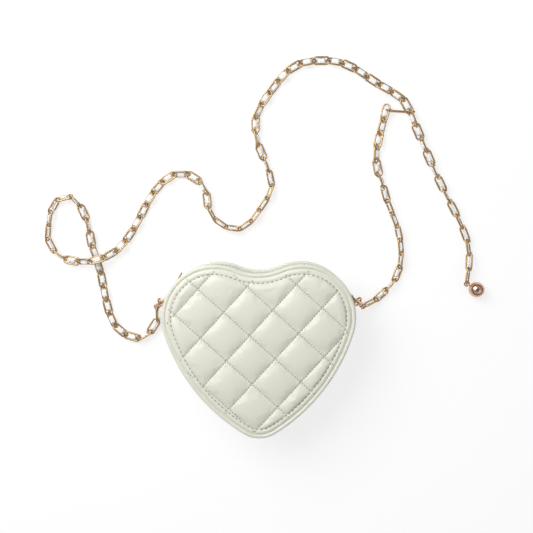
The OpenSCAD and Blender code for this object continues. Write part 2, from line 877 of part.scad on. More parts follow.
module edge_form() {
  rings = [for (k = [0:len(edge_in_shares) - 1])
    [for (q = heart(edge_inset + edge_in_shares[k] * edge_run))
      [q[0], q[1], k == 0 ? panel_z : bag_d + edge_up_shares[k] * pillow_h]]];
  n = len(rings[0]);
  m = len(rings);
  base = [for (i = [n - 1:-1:0]) i];
  crown = [for (i = [0:n - 1]) n * (m - 1) + i];
  sides = [for (k = [0:m - 2], i = [0:n - 1]) let (j = (i + 1) % n)
    each [[n * k + i, n * k + n + i, n * k + n + j], [n * k + i, n * k + n + j, n * k + j]]];
  polyhedron([for (r = rings, q = r) q], concat([base], [crown], sides), convexity = 6);
}

module front_panel() {
  color("ivory")
    union() {
      heart_slab(panel_inset, panel_z, bag_d);
      intersection() {
        ribs(45 + quilt_turn);
        ribs(quilt_turn - 45);
        edge_form();
      }
    }
}

module front_piping() {
  color("ivory")
    piping(front_piping_z);
}

module front_wadding() {
  color("white")
    heart_slab(board_inset, wadding_z, panel_z);
}

module front_board() {
  color("tan")
    heart_slab(board_inset, front_board_z, wadding_z);
}

module front_lining() {
  color("gainsboro")
    heart_slab(board_inset, front_lining_z, front_board_z);
}

back_panel();
back_piping();
back_board();
back_lining();
lower_gusset();
gusset_lining();
rear_gusset_strip();
rear_zip_tape();
rear_zip_teeth();
zip_end_stops();
left_ring_tab();
right_ring_tab();
left_snap_hook();
right_snap_hook();
left_chain_links();
right_chain_links();
left_woven_strip();
right_woven_strip();
closure_hook();
front_panel();
front_piping();
front_wadding();
front_board();
front_lining();
front_gusset_strip();
front_zip_tape();
front_zip_teeth();
zip_slider();
zip_pull();
left_d_ring();
right_d_ring();
left_snap_gate();
right_snap_gate();
charm_eye();
ball_charm();
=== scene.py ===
"""Heart shaped quilted purse with a woven chain belt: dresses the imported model
and sets it on a pale studio floor. Metres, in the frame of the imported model."""

import math

import bpy
from bpy.props import FloatProperty, FloatVectorProperty, IntProperty, PointerProperty
from mathutils import Matrix, Vector, noise
from mathutils.bvhtree import BVHTree
from mathutils.kdtree import KDTree


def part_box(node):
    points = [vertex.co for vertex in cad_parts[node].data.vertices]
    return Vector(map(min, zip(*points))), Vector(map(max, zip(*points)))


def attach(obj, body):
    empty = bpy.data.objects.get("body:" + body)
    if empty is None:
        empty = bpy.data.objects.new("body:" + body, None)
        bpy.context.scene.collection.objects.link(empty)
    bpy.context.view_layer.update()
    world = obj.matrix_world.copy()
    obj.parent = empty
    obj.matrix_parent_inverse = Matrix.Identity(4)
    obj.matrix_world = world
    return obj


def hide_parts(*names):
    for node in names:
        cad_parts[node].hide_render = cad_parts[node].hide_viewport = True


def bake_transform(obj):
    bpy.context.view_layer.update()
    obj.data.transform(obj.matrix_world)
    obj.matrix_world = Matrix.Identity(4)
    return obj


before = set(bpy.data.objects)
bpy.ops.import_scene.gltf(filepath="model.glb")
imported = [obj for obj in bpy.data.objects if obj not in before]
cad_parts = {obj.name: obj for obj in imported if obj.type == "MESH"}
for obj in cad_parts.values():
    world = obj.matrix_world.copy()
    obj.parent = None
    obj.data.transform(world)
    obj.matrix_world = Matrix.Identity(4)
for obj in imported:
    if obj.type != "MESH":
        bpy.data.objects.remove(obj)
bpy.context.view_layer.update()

bl_info = {
    "name": "Quilted Heart Purse",
    "version": (1, 0, 0),
    "blender": (4, 5, 0),
    "location": "3D View > Sidebar > Purse",
    "description": "Dresses a heart shaped quilted purse with leather, stitching, metal and a woven chain",
    "category": "Object",
}


def z_span(node):
    low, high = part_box(node)
    return low[2], high[2]


MM = 0.001
UP = Vector((0, 0, 1))
BAG_LOW, BAG_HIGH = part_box("back_piping")
BAG_W, BAG_H = BAG_HIGH[0] - BAG_LOW[0], BAG_HIGH[1] - BAG_LOW[1]
BAG_D = z_span("front_wadding")[1] + MM
REAR_STRIP, FRONT_STRIP = z_span("rear_gusset_strip"), z_span("front_gusset_strip")
ZIP_Z = (REAR_STRIP[1] + FRONT_STRIP[0]) / 2


# Settings


def size(name, description, mm):
    return FloatProperty(name=name, description=description, default=mm * MM, unit="LENGTH")


def turn_of(name, description, degrees):
    return FloatProperty(name=name, description=description, default=math.radians(degrees), subtype="ANGLE")


def colour(name, description, value):
    return FloatVectorProperty(name=name, description=description, default=value, subtype="COLOR", min=0, max=1)


def power(name, description, value):
    return FloatProperty(name=name, description=description, default=value, unit="POWER")


class PurseBag(bpy.types.PropertyGroup):
    lobe_radius: size("Lobe radius", "Radius of each lobe of the heart", 35.75)
    side_radius: size("Side radius", "Radius of each long side", 123)
    tip_radius: size("Tip radius", "Radius of the tip", 20.2)
    notch_depth: size("Notch depth", "Drop of the notch below the lobes", 6)
    piping_radius: size("Piping radius", "Radius of the piping", 1.5)
    wall_inset: size("Wall inset", "Step in from the piping to the gusset", 1.7)
    wall_thickness: size("Wall thickness", "Thickness of the gusset leather", 1.2)


class PurseQuilting(bpy.types.PropertyGroup):
    half_diagonal: size("Half diagonal", "Half diagonal of a quilted diamond", 16.3)
    turn: turn_of("Turn", "Turn of the quilting about the panel", 2.4)
    pillow_rise: size("Pillow rise", "Rise of the pillows over the stitched lines", 2.3)
    cells: IntProperty(name="Cells", description="Mesh cells across one diamond", default=24)
    groove: size("Groove", "Depth that the stitches pull the leather down", 0.3)
    border: size("Border", "Width from the seam to the edge stitching", 3.4)
    per_diamond: IntProperty(name="Stitches", description="Stitches along one side of a diamond", default=11)
    edge_pitch: size("Edge pitch", "Spacing of the edge stitches", 3.1)
    thread: size("Thread", "Radius of the thread", 0.27)


class PurseChain(bpy.types.PropertyGroup):
    link_pitch: size("Link pitch", "Spacing of the links", 10.05)
    link_width: size("Link width", "Outer width of a link", 6.4)
    link_wire: size("Link wire", "Wire diameter of a link", 1.25)
    link_tilt: turn_of("Link tilt", "Tilt of each link from the flat of the chain", 33)
    strip_width: size("Strip width", "Width of the woven leather in the windows of the links", 3.9)
    strip_waist: size("Strip waist", "Width of the woven leather under the links", 1.7)
    strip_thickness: size("Strip thickness", "Thickness of the woven leather under the links", 0.6)
    pad_thickness: size("Pad thickness", "Thickness of the folded leather in the windows of the links", 1.5)


class PurseColours(bpy.types.PropertyGroup):
    leather: colour("Leather", "Colour of the quilted leather", (0.80, 0.80, 0.69))
    # Painted shade: the walls are the same leather as the front; this darker, greener colour stands in for the shade
    # on the upright walls.
    gusset: colour("Gusset leather", "Colour of the gusset leather", (0.63, 0.655, 0.57))
    strap: colour("Strap leather", "Colour of the woven strip", (0.97, 0.965, 0.94))
    # Partly painted shade: the real stitching is lighter; its colour is darkened to stand in for the shade in the
    # needle holes and grooves round it.
    thread: colour("Thread", "Colour of the stitching", (0.27, 0.265, 0.21))
    gold: colour("Gold", "Colour of the chain", (0.64, 0.435, 0.22))
    rose: colour("Rose gold", "Colour of the snap hooks and the ball", (0.74, 0.48, 0.36))
    lining: colour("Lining", "Colour of the lining cloth", (0.55, 0.51, 0.43))


class PurseStage(bpy.types.PropertyGroup):
    key_power: power("Key light", "Power of the key light", 4.6)
    fill_power: power("Fill light", "Power of the fill light", 0.9)
    sky: FloatProperty(name="Sky", description="Strength of the soft light from all round", default=0.42)
    shadow: FloatProperty(
        name="Shadow",
        description="Share of the floor's light that the shadow may take",
        default=0.32,
        subtype="FACTOR",
        min=0,
        max=1,
    )
    floor_size: FloatProperty(name="Floor size", description="Side of the square floor", default=6, unit="LENGTH")


def bag():
    return bpy.context.scene.purse_bag


def quilting():
    return bpy.context.scene.purse_quilting


def chain():
    return bpy.context.scene.purse_chain


def colours():
    return bpy.context.scene.purse_colours


def studio():
    return bpy.context.scene.purse_stage


# Outline of the heart

ARC_STEPS = (10, 56, 30, 12)


def unit(v):
    return v / v.length


def ray(angle):
    return Vector((math.cos(angle), math.sin(angle)))


def angle_of(v):
    return math.atan2(v.y, v.x)


def raised(p, z):
    return Vector((p.x, p.y, z))


def hump(x, width):
    """A smooth hump: 1 in the middle and near 0 two widths away."""
    return math.exp(-((x / width) ** 2))


def arc(centre, radius, start, end, steps):
    return [centre + radius * ray(start + (end - start) * i / steps) for i in range(steps + 1)]


def lobe_centre():
    radius = bag().lobe_radius
    return Vector((BAG_W / 2 - radius, BAG_H / 2 - radius))


def heart_arcs():
    """Centre, radius, start and end of each arc of the right half, from the notch down.
    A negative radius grows inwards."""
    b = bag()
    half = BAG_H / 2
    lobe = lobe_centre()
    tip = Vector((0, b.tip_radius - half))
    rise = half - b.notch_depth - lobe.y
    notch_radius = (lobe.x**2 + rise**2 - b.lobe_radius**2) / (2 * (b.lobe_radius - rise))
    notch = Vector((0, half - b.notch_depth + notch_radius))
    gap = (lobe - tip).length
    along = unit(lobe - tip)
    outer, inner = b.side_radius - b.tip_radius, b.side_radius - b.lobe_radius
    run = (outer**2 - inner**2 + gap**2) / (2 * gap)
    across = math.sqrt(outer**2 - run**2)
    side = tip + run * along + across * Vector((-along.y, along.x))
    quarter = math.pi / 2
    return [
        (notch, -notch_radius, -quarter, angle_of(lobe - notch)),
        (lobe, b.lobe_radius, angle_of(notch - lobe), angle_of(lobe - side)),
        (side, b.side_radius, angle_of(lobe - side), angle_of(tip - side)),
        (tip, b.tip_radius, angle_of(tip - side), -quarter),
    ]


def heart(inset, finer=1):
    """Closed outline drawn in by inset, clockwise from the notch."""
    right = []
    for (centre, radius, start, end), steps in zip(heart_arcs(), ARC_STEPS):
        drawn_in = abs(radius) + (inset if radius < 0 else -inset)
        right += arc(centre, drawn_in, start, end, steps * finer)[1 if right else 0 :]
    return right + [Vector((-p.x, p.y)) for p in right[-2:0:-1]]


def even_steps(line, pitch):
    """Even steps along a line, about pitch apart: the segment that each is on, and its share of the way there."""
    runs = [0.0]
    for a, b in zip(line, line[1:]):
        runs.append(runs[-1] + (b - a).length)
    count = max(2, round(runs[-1] / pitch))
    found, k = [], 0
    for i in range(count + 1):
        at = runs[-1] * i / count
        while k < len(runs) - 2 and runs[k + 1] < at:
            k += 1
        found.append((k, (at - runs[k]) / (runs[k + 1] - runs[k])))
    return found


def spaced(points, pitch, closed=True):
    """Points at even distances along a line, each with its direction."""
    line = list(points) + ([points[0]] if closed else [])
    found = [(line[k].lerp(line[k + 1], share), unit(line[k + 1] - line[k])) for k, share in even_steps(line, pitch)]
    return found[:-1] if closed else found


class Outline:
    """Distance in from the outline, and the outward direction there."""

    def __init__(self):
        points = heart(0, 8)
        count = len(points)
        self.tree = KDTree(count)
        self.places = points
        self.outward = []
        for i, p in enumerate(points):
            self.tree.insert((p.x, p.y, 0), i)
            t = unit(points[(i + 1) % count] - points[i - 1])
            self.outward.append(Vector((-t.y, t.x)))
        self.tree.balance()

    def at(self, p):
        i = self.tree.find((p.x, p.y, 0))[1]
        return (self.places[i] - p.xy).dot(self.outward[i]), self.outward[i]

    def inset(self, p):
        return self.at(p)[0]


# Mesh tools

MERGE = 0.01 * MM


def pick(obj=None):
    if bpy.context.mode != "OBJECT":
        done()
    bpy.ops.object.select_all(action="DESELECT")
    if obj:
        obj.select_set(True)
        bpy.context.view_layer.objects.active = obj


def edit(obj, mode="VERT", action="DESELECT"):
    pick(obj)
    bpy.ops.object.mode_set(mode="EDIT")
    bpy.ops.mesh.select_mode(type=mode)
    bpy.ops.mesh.select_all(action=action)


def done():
    bpy.ops.object.mode_set(mode="OBJECT")


def choose(obj, mode, wanted):
    """Opens a mesh for editing with the vertices or edges selected that pass a test."""
    edit(obj, mode)
    done()
    for part in obj.data.edges if mode == "EDGE" else obj.data.vertices:
        part.select = wanted(part)
    bpy.ops.object.mode_set(mode="EDIT")


def open_rim(obj):
    """Opens a mesh for editing with its open edge selected."""
    edit(obj, "EDGE", "SELECT")
    bpy.ops.mesh.region_to_loop()


def started(name):
    obj = bpy.context.object
    obj.name = name
    obj.data.name = name
    return obj


def line_mesh(name, points):
    """A circle opened and set on a line, the start of a wall."""
    pick()
    bpy.ops.mesh.primitive_circle_add(vertices=len(points), radius=BAG_W / 2)
    obj = started(name)
    for vertex, p in zip(obj.data.vertices, points):
        vertex.co = (p.x, p.y, 0)
    last = {0, len(points) - 1}
    choose(obj, "EDGE", lambda edge: set(edge.vertices) == last)
    bpy.ops.mesh.delete(type="EDGE")
    done()
    return obj


def pull_up(obj, heights):
    """Extrudes the whole line through the heights."""
    edit(obj, "VERT", "SELECT")
    for low, high in zip(heights, heights[1:]):
        bpy.ops.mesh.extrude_region_move(TRANSFORM_OT_translate={"value": (0, 0, high - low)})
    done()
    for vertex in obj.data.vertices:
        vertex.co.z += heights[0]


def modify(obj, kind, **values):
    pick(obj)
    bpy.ops.object.modifier_add(type=kind)
    modifier = obj.modifiers[-1]
    for key, value in values.items():
        setattr(modifier, key, value)
    bpy.ops.object.modifier_apply(modifier=modifier.name)


def round_edges(obj, width, degrees):
    """Bevels the sharp edges and shades the rest smooth."""
    angle = math.radians(degrees)
    modify(obj, "BEVEL", width=width, segments=2, limit_method="ANGLE", angle_limit=angle)
    smooth(obj, degrees)


def face_out(obj):
    edit(obj, "VERT", "SELECT")
    bpy.ops.mesh.remove_doubles(threshold=MERGE)
    bpy.ops.mesh.normals_make_consistent(inside=False)
    done()


def smooth(obj, degrees=None):
    pick(obj)
    if degrees is None:
        bpy.ops.object.shade_smooth()
    else:
        bpy.ops.object.shade_smooth_by_angle(angle=math.radians(degrees))


def settle(obj):
    pick(obj)
    bpy.ops.object.transform_apply(location=True, rotation=True, scale=True)


def finish(obj, name):
    obj.data.materials.clear()
    obj.data.materials.append(FINISHES[name])


def deliver(obj, body, finish_name, *nodes):
    """Gives a finished piece its finish, its body and the nodes that it stands for.
    A piece given the body "opening", such as a wall that stretches when the front opens, is only baked in place and
    attached to no body."""
    settle(obj)
    finish(obj, finish_name)
    if nodes:
        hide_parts(*nodes)
    if body == "opening":
        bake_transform(obj)
    else:
        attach(obj, body)
    pick()


def linked(name, mesh):
    obj = bpy.data.objects.new(name, mesh)
    bpy.context.scene.collection.objects.link(obj)
    return obj


def copies(name, model, places):
    """One mesh of a model repeated at each place, a function of a point."""
    points, faces = [], []
    base = [v.co.copy() for v in model.data.vertices]
    shapes = [tuple(p.vertices) for p in model.data.polygons]
    for place in places:
        start = len(points)
        points += [place(p) for p in base]
        faces += [tuple(start + i for i in f) for f in shapes]
    mesh = bpy.data.meshes.new(name)
    mesh.from_pydata(points, [], faces)
    mesh.validate()
    bpy.data.objects.remove(model)
    return linked(name, mesh)


def tube(name, points, radius):
    """A round closed cord, made as a bevelled curve and turned into a mesh."""
    pick()
    bpy.ops.curve.primitive_nurbs_path_add()
    obj = started(name)
    curve = obj.data
    curve.splines.clear()
    spline = curve.splines.new("POLY")
    spline.points.add(len(points) - 1)
    for knot, p in zip(spline.points, points):
        knot.co = (*p, 1)
    spline.use_cyclic_u = True
    curve.bevel_depth = radius
    curve.bevel_resolution = 6
    pick(obj)
    bpy.ops.object.convert(target="MESH")
    obj = bpy.context.object
    face_out(obj)
    return obj


def wall(name, line, heights, thickness, bulge=None, bevel=0.2 * MM):
    """A leather or cloth wall that stands on a line, with its outer face on the line."""
    obj = line_mesh(name, line)
    pull_up(obj, heights)
    outline = Outline()
    for vertex in obj.data.vertices if bulge else ():
        outward = outline.at(vertex.co)[1]
        vertex.co += bulge(vertex.co) * outward.to_3d()
    polygon = obj.data.polygons[0]
    side = -1 if polygon.normal.xy.dot(outline.at(polygon.center)[1]) > 0 else 1
    modify(obj, "SOLIDIFY", thickness=thickness, offset=side, use_even_offset=True)
    face_out(obj)
    round_edges(obj, bevel, 40)
    return obj


def heart_sheet(name, inset, cell, turn, centre, z, cells_wide):
    """A grid trimmed to the heart, with its edge drawn onto the outline."""
    outline = Outline()
    pick()
    bpy.ops.mesh.primitive_grid_add(x_subdivisions=cells_wide, y_subdivisions=cells_wide, size=cells_wide * cell)
    obj = started(name)
    obj.rotation_euler = (0, 0, turn)
    obj.location = raised(centre, z)
    settle(obj)
    choose(obj, "VERT", lambda vertex: outline.inset(vertex.co) < inset - 0.4 * cell)
    bpy.ops.mesh.delete(type="VERT")
    open_rim(obj)
    done()
    for vertex in obj.data.vertices:
        if vertex.select:
            gap, outward = outline.at(vertex.co)
            vertex.co += (gap - inset) * outward.to_3d()
    return obj, outline


def close_under(obj, drop):
    """Draws the edge of a sheet down and closes it underneath."""
    open_rim(obj)
    bpy.ops.mesh.extrude_region_move(TRANSFORM_OT_translate={"value": (0, 0, -drop)})
    bpy.ops.mesh.edge_face_add()
    done()
    face_out(obj)


def softened_copy(node, name, width):
    """A copy of a rigid node with its edges rounded."""
    obj = linked(name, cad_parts[node].data.copy())
    obj.data.materials.clear()
    edit(obj, "VERT", "SELECT")
    bpy.ops.mesh.remove_doubles(threshold=0.005 * MM)
    bpy.ops.mesh.dissolve_limited(angle_limit=math.radians(4))
    done()
    round_edges(obj, width, 35)
    return obj


def stitch_model(length, radius):
    """One stitch: a short thread whose ends dip into their holes."""
    pick()
    bpy.ops.mesh.primitive_uv_sphere_add(segments=8, ring_count=5, radius=1, rotation=(0, math.pi / 2, 0))
    obj = started("stitch_model")
    obj.scale = (radius, radius, length / 2)
    settle(obj)
    for vertex in obj.data.vertices:
        vertex.co.z -= 0.9 * radius * (2 * vertex.co.x / length) ** 2
    return obj


def sew(name, body, rows, length, radius):
    """A row of stitches at each (place, direction, up), on a body."""
    places = []
    for place, along, up in rows:
        side = unit(up.cross(along))
        turn = Matrix((along, side, unit(along.cross(side)))).transposed().to_4x4()
        places.append(lambda p, move=Matrix.Translation(place) @ turn: move @ p)
    obj = copies(name, stitch_model(length, radius), places)
    smooth(obj)
    deliver(obj, body, "sewing_thread_painted_shade")


# Finishes

FINISHES = {}


class Sheet:
    """A node tree with short calls. An input is named by its label, or by i and its number."""

    def __init__(self, tree):
        self.tree = tree
        tree.nodes.clear()

    def link(self, value, socket):
        self.tree.links.new(value, socket)

    def node(self, kind, settings=None, **inputs):
        made = self.tree.nodes.new("ShaderNode" + kind)
        for key, value in (settings or {}).items():
            setattr(made, key, value)
        for key, value in inputs.items():
            socket = made.inputs[int(key[1:]) if key[1:].isdigit() else key.replace("_", " ")]
            if isinstance(value, bpy.types.NodeSocket):
                self.link(value, socket)
            else:
                socket.default_value = value
        return made.outputs

    def use(self, name, **inputs):
        return self.node("Group", {"node_tree": bpy.data.node_groups[name]}, **inputs)

    def math(self, operation, a, b=0.0):
        return self.node("Math", {"operation": operation}, i0=a, i1=b)[0]

    def blended(self, a, share_a, b, share_b):
        return self.math("ADD", self.math("MULTIPLY", a, share_a), self.math("MULTIPLY", b, share_b))

    def vector(self, operation, a, **inputs):
        return self.node("VectorMath", {"operation": operation}, i0=a, **inputs)

    def ranged(self, value, low, high, to_low=0.0, to_high=1.0):
        return self.node("MapRange", Value=value, From_Min=low, From_Max=high, To_Min=to_low, To_Max=to_high)[0]

    def mixed(self, share, a, b):
        return self.node("Mix", {"data_type": "RGBA"}, i0=share, i6=a, i7=b)[2]

    def noise(self, vector, scale, detail=2.0, roughness=0.5):
        return self.node("TexNoise", Vector=vector, Scale=scale, Detail=detail, Roughness=roughness)["Fac"]

    def bump(self, strength, mm, height):
        return self.node("Bump", Strength=strength, Distance=mm * MM, Height=height)[0]

    def shade(self, **inputs):
        self.node("OutputMaterial", i0=self.node("BsdfPrincipled", **inputs)[0])


def group(name, inputs, outputs):
    """A group that takes a vector and named numbers and gives named numbers."""
    tree = bpy.data.node_groups.new(name, "ShaderNodeTree")
    s = Sheet(tree)
    tree.interface.new_socket("Vector", in_out="INPUT", socket_type="NodeSocketVector")
    for label, value in inputs.items():
        tree.interface.new_socket(label, in_out="INPUT", socket_type="NodeSocketFloat").default_value = value
    for label in outputs:
        tree.interface.new_socket(label, in_out="OUTPUT", socket_type="NodeSocketFloat")
    given = tree.nodes.new("NodeGroupInput").outputs
    return s, given, given["Vector"], tree.nodes.new("NodeGroupOutput").inputs


def leather_grain():
    """Fine pebbles with creases between them, and slow changes of tone."""
    s, given, at, out = group("Leather grain", {"Pebbles": 1700.0, "Creases": 0.5}, ("Height", "Tone"))
    warp = s.node("TexNoise", Vector=at, Scale=420.0, Detail=2.0)["Color"]
    place = s.vector("ADD", at, i1=s.vector("SCALE", warp, Scale=0.0006)[0])[0]
    cells = s.node("TexVoronoi", {"feature": "DISTANCE_TO_EDGE"}, Vector=place, Scale=given["Pebbles"])["Distance"]
    pebbles = s.ranged(cells, 0.0, 0.22)
    creased = s.math("MULTIPLY", s.noise(at, 160.0, 3.0, 0.6), given["Creases"])
    s.link(s.math("ADD", s.blended(pebbles, 0.55, s.noise(place, 5200.0, 3.0), 0.3), creased), out["Height"])
    s.link(s.blended(s.noise(at, 32.0, 3.0, 0.6), 0.75, pebbles, 0.25), out["Tone"])


def metal_wear():
    """Fine rubbing and dull patches on plated metal."""
    s, given, at, out = group("Metal wear", {"Scratches": 2600.0}, ("Height", "Dull"))
    lines = s.noise(s.vector("MULTIPLY", at, i1=(1.0, 1.0, 0.18))[0], given["Scratches"], 3.0, 0.65)
    s.link(lines, out["Height"])
    s.link(s.ranged(s.blended(s.noise(at, 260.0, 3.0, 0.6), 0.6, lines, 0.4), 0.35, 0.7), out["Dull"])


def cloth_weave():
    """Warp and weft of plain cloth, over and under each other."""
    s, given, at, out = group("Cloth weave", {"Threads": 2200.0}, ("Height", "Tone"))
    turned = s.node("Mapping", Vector=at, Rotation=(0.0, 0.0, math.radians(2)))[0]
    axes = s.node("SeparateXYZ", Vector=turned)
    waves = [s.math("SINE", s.math("MULTIPLY", axis, given["Threads"])) for axis in axes]
    over = s.math("MULTIPLY", waves[0], s.math("ADD", waves[1], waves[2]))
    fuzz = s.math("MULTIPLY", s.noise(at, 4000.0), 0.4)
    s.link(s.math("ADD", s.ranged(over, -1.2, 1.2), fuzz), out["Height"])
    slow = s.math("MULTIPLY", s.noise(at, 60.0), 0.6)
    s.link(s.math("ADD", slow, s.ranged(over, -1.2, 1.2, 0.0, 0.4)), out["Tone"])


def material(name):
    made = bpy.data.materials.new(name)
    made.use_nodes = True
    s = Sheet(made.node_tree)
    FINISHES[name] = made
    return s, s.node("TexCoord")["Object"]


def tinted(colour, share):
    return tuple(c * share for c in colour[:3]) + (1.0,)


def leather(name, colour, pebbles, depth, gloss, creases, seam_shade=False):
    """Smooth leather; where the piece has a seam attribute, its grooves are darkened with painted shade and made
    duller.
    """
    s, place = material(name)
    grain = s.use("Leather grain", Vector=place, Pebbles=pebbles, Creases=creases)
    base = s.mixed(s.ranged(grain["Tone"], 0.3, 0.75), tinted(colour, 0.955), tinted(colour, 1.02))
    rough = s.ranged(grain["Tone"], 0.25, 0.8, gloss + 0.07, gloss - 0.03)
    if seam_shade:
        # Painted shade: the seam mask darkens the leather in the grooves of the stitched lines.
        seam = s.node("Attribute", {"attribute_name": "seam"})["Fac"]
        base = s.mixed(seam, base, tinted((colour[0] * 0.9, colour[1] * 0.88, colour[2] * 0.84), 0.62))
        rough = s.math("ADD", rough, s.math("MULTIPLY", seam, 0.15))
    bump = s.bump(depth, 0.12, grain["Height"])
    s.shade(
        Base_Color=base, Roughness=rough, Normal=bump, Specular_IOR_Level=0.5, Coat_Weight=0.12, Coat_Roughness=0.3
    )


def metal(name, colour, deep, gloss):
    """Plated metal, rubbed and duller in patches."""
    s, place = material(name)
    wear = s.use("Metal wear", Vector=place, Scratches=2600.0)
    base = s.mixed(wear["Dull"], tinted(colour, 1.0), tinted(colour, deep))
    rough = s.ranged(wear["Dull"], 0.0, 1.0, gloss, gloss + 0.16)
    s.shade(Base_Color=base, Roughness=rough, Metallic=1.0, Normal=s.bump(0.12, 0.04, wear["Height"]))


def cloth(name, colour, threads, depth, sheen):
    """Plain woven cloth."""
    s, place = material(name)
    weave = s.use("Cloth weave", Vector=place, Threads=threads)
    base = s.mixed(s.ranged(weave["Tone"], 0.2, 0.9), tinted(colour, 0.82), tinted(colour, 1.05))
    bump = s.bump(depth, 0.15, weave["Height"])
    s.shade(Base_Color=base, Roughness=0.85, Normal=bump, Sheen_Weight=sheen, Sheen_Roughness=0.5)


def thread(name, colour):
    """Twisted sewing thread."""
    s, place = material(name)
    turned = s.node("Mapping", Vector=place, Rotation=(0.0, 0.0, math.radians(18)))[0]
    bands = {"wave_type": "BANDS", "bands_direction": "DIAGONAL"}
    ply = s.node("TexWave", bands, Vector=turned, Scale=900.0, Distortion=1.0)["Fac"]
    base = s.mixed(ply, tinted(colour, 0.75), tinted(colour, 1.1))
    s.shade(Base_Color=base, Roughness=0.6, Normal=s.bump(0.4, 0.1, ply), Sheen_Weight=0.2)


def plastic(name, colour, gloss):
    """Moulded zip teeth, with faint flow marks."""
    s, place = material(name)
    flow = s.noise(place, 900.0, 3.0)
    base = s.mixed(flow, tinted(colour, 0.93), tinted(colour, 1.03))
    rough = s.ranged(flow, 0.3, 0.7, gloss, gloss + 0.12)
    s.shade(Base_Color=base, Roughness=rough, Normal=s.bump(0.15, 0.05, flow))


def fibre(name, colour, scale, depth):
    """Pressed board or wadding: matted fibres."""
    s, place = material(name)
    mat = s.noise(place, scale, 5.0, 0.7)
    specks = s.node("TexVoronoi", Vector=place, Scale=scale * 0.6)["Distance"]
    base = s.mixed(s.math("MULTIPLY", mat, specks), tinted(colour, 0.85), tinted(colour, 1.1))
    s.shade(Base_Color=base, Roughness=0.92, Normal=s.bump(depth, 0.2, mat))


RIGID_NODES = {
    "light_gold": ["closure_hook", "left_d_ring", "right_d_ring"],
    "rose_gold": [side + part for part in ("_snap_hook", "_snap_gate") for side in ("left", "right")]
    + ["charm_eye", "ball_charm"],
    "bag_board": ["back_board", "front_board"],
    "soft_wadding": ["front_wadding"],
}


class PURSE_OT_finishes(bpy.types.Operator):
    """Builds the leather, metal, cloth and thread finishes and gives the rigid nodes theirs"""

    bl_idname = "purse.finishes"
    bl_label = "Finishes"

    def execute(self, context):
        c = colours()
        leather_grain()
        metal_wear()
        cloth_weave()
        # The quilted leather takes painted shade in its stitched grooves.
        leather("quilted_leather", c.leather, 1700.0, 0.22, 0.40, 0.5, seam_shade=True)
        leather("bag_leather", c.leather, 1700.0, 0.28, 0.42, 0.8)
        # The gusset walls take the leather colour darkened with painted shade.
        leather("gusset_leather_painted_shade", c.gusset, 1700.0, 0.28, 0.46, 0.8)
        leather("strap_leather", c.strap, 2300.0, 0.12, 0.45, 0.15)
        # The thread colour holds painted shade of the needle holes round the stitches.
        thread("sewing_thread_painted_shade", c.thread)
        metal("light_gold", c.gold, 0.68, 0.31)
        metal("rose_gold", c.rose, 0.8, 0.12)
        cloth("zip_cloth", (0.72, 0.71, 0.63), 5200.0, 0.6, 0.1)
        cloth("lining_cloth", c.lining, 3800.0, 0.5, 0.3)
        plastic("zip_plastic", (0.74, 0.73, 0.66), 0.3)
        fibre("bag_board", (0.36, 0.27, 0.17), 1500.0, 0.4)
        fibre("soft_wadding", (0.8, 0.8, 0.78), 900.0, 0.8)
        for name, nodes in RIGID_NODES.items():
            for node in nodes:
                finish(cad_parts[node], name)
        return {"FINISHED"}


# Quilted front

CLOTH_STEPS = 25
PAD_SHARE = 1.05
LATTICE_REACH = 5
CLEAR_OF_PIPING = 0.9 * MM
CLEAR_OF_EDGE_ROW = 1.0 * MM


def seam_line():
    """How far in from the outline the panels leave their piping."""
    return bag().piping_radius * 2


def edge_line():
    """How far in from the outline the edge stitching runs."""
    return seam_line() + quilting().border


def lattice():
    """Corner of the quilting, its two directions and the side of a diamond."""
    q = quilting()
    corner = Vector((-0.28, -1.31)) * q.half_diagonal
    first = ray(math.radians(45) + q.turn)
    return corner, first, Vector((first.y, -first.x)), q.half_diagonal * math.sqrt(2)


def to_line(at, direction, side):
    """Distance to the nearest stitched line that a direction crosses."""
    run = at.dot(direction) / side
    return abs(run - round(run)) * side


def pillow(gaps):
    """Height share of a stuffed pad at these distances from its stitched sides: steep by the seam, full inside."""
    half = quilting().half_diagonal / math.sqrt(2)
    share = 1.0
    for gap in gaps:
        share *= 1 - (1 - min(1.0, max(0.0, gap / half))) ** 2.2
    return share**0.6


def swell(obj, held):
    """Blows the free part of a sheet up with the cloth simulation."""
    grip = obj.vertex_groups.new(name="sewn")
    grip.add([i for i, h in enumerate(held) if h], 1.0, "REPLACE")
    pick(obj)
    bpy.ops.object.modifier_add(type="CLOTH")
    modifier = obj.modifiers[-1]
    settings = modifier.settings
    for name, value in {
        "quality": 6,
        "mass": 0.2,
        "tension_stiffness": 12,
        "compression_stiffness": 12,
        "shear_stiffness": 6,
        "bending_stiffness": 0.6,
        "tension_damping": 8,
        "compression_damping": 8,
        "use_pressure": True,
        "uniform_pressure_force": 5,
        "vertex_group_mass": "sewn",
        "shrink_min": -0.012,
    }.items():
        setattr(settings, name, value)
    settings.effector_weights.gravity = 0
    modifier.collision_settings.use_collision = False
    scene = bpy.context.scene
    for step in range(1, CLOTH_STEPS + 1):
        scene.frame_set(step)
    bpy.ops.object.modifier_apply(modifier=modifier.name)
    scene.frame_set(1)
    obj.vertex_groups.clear()


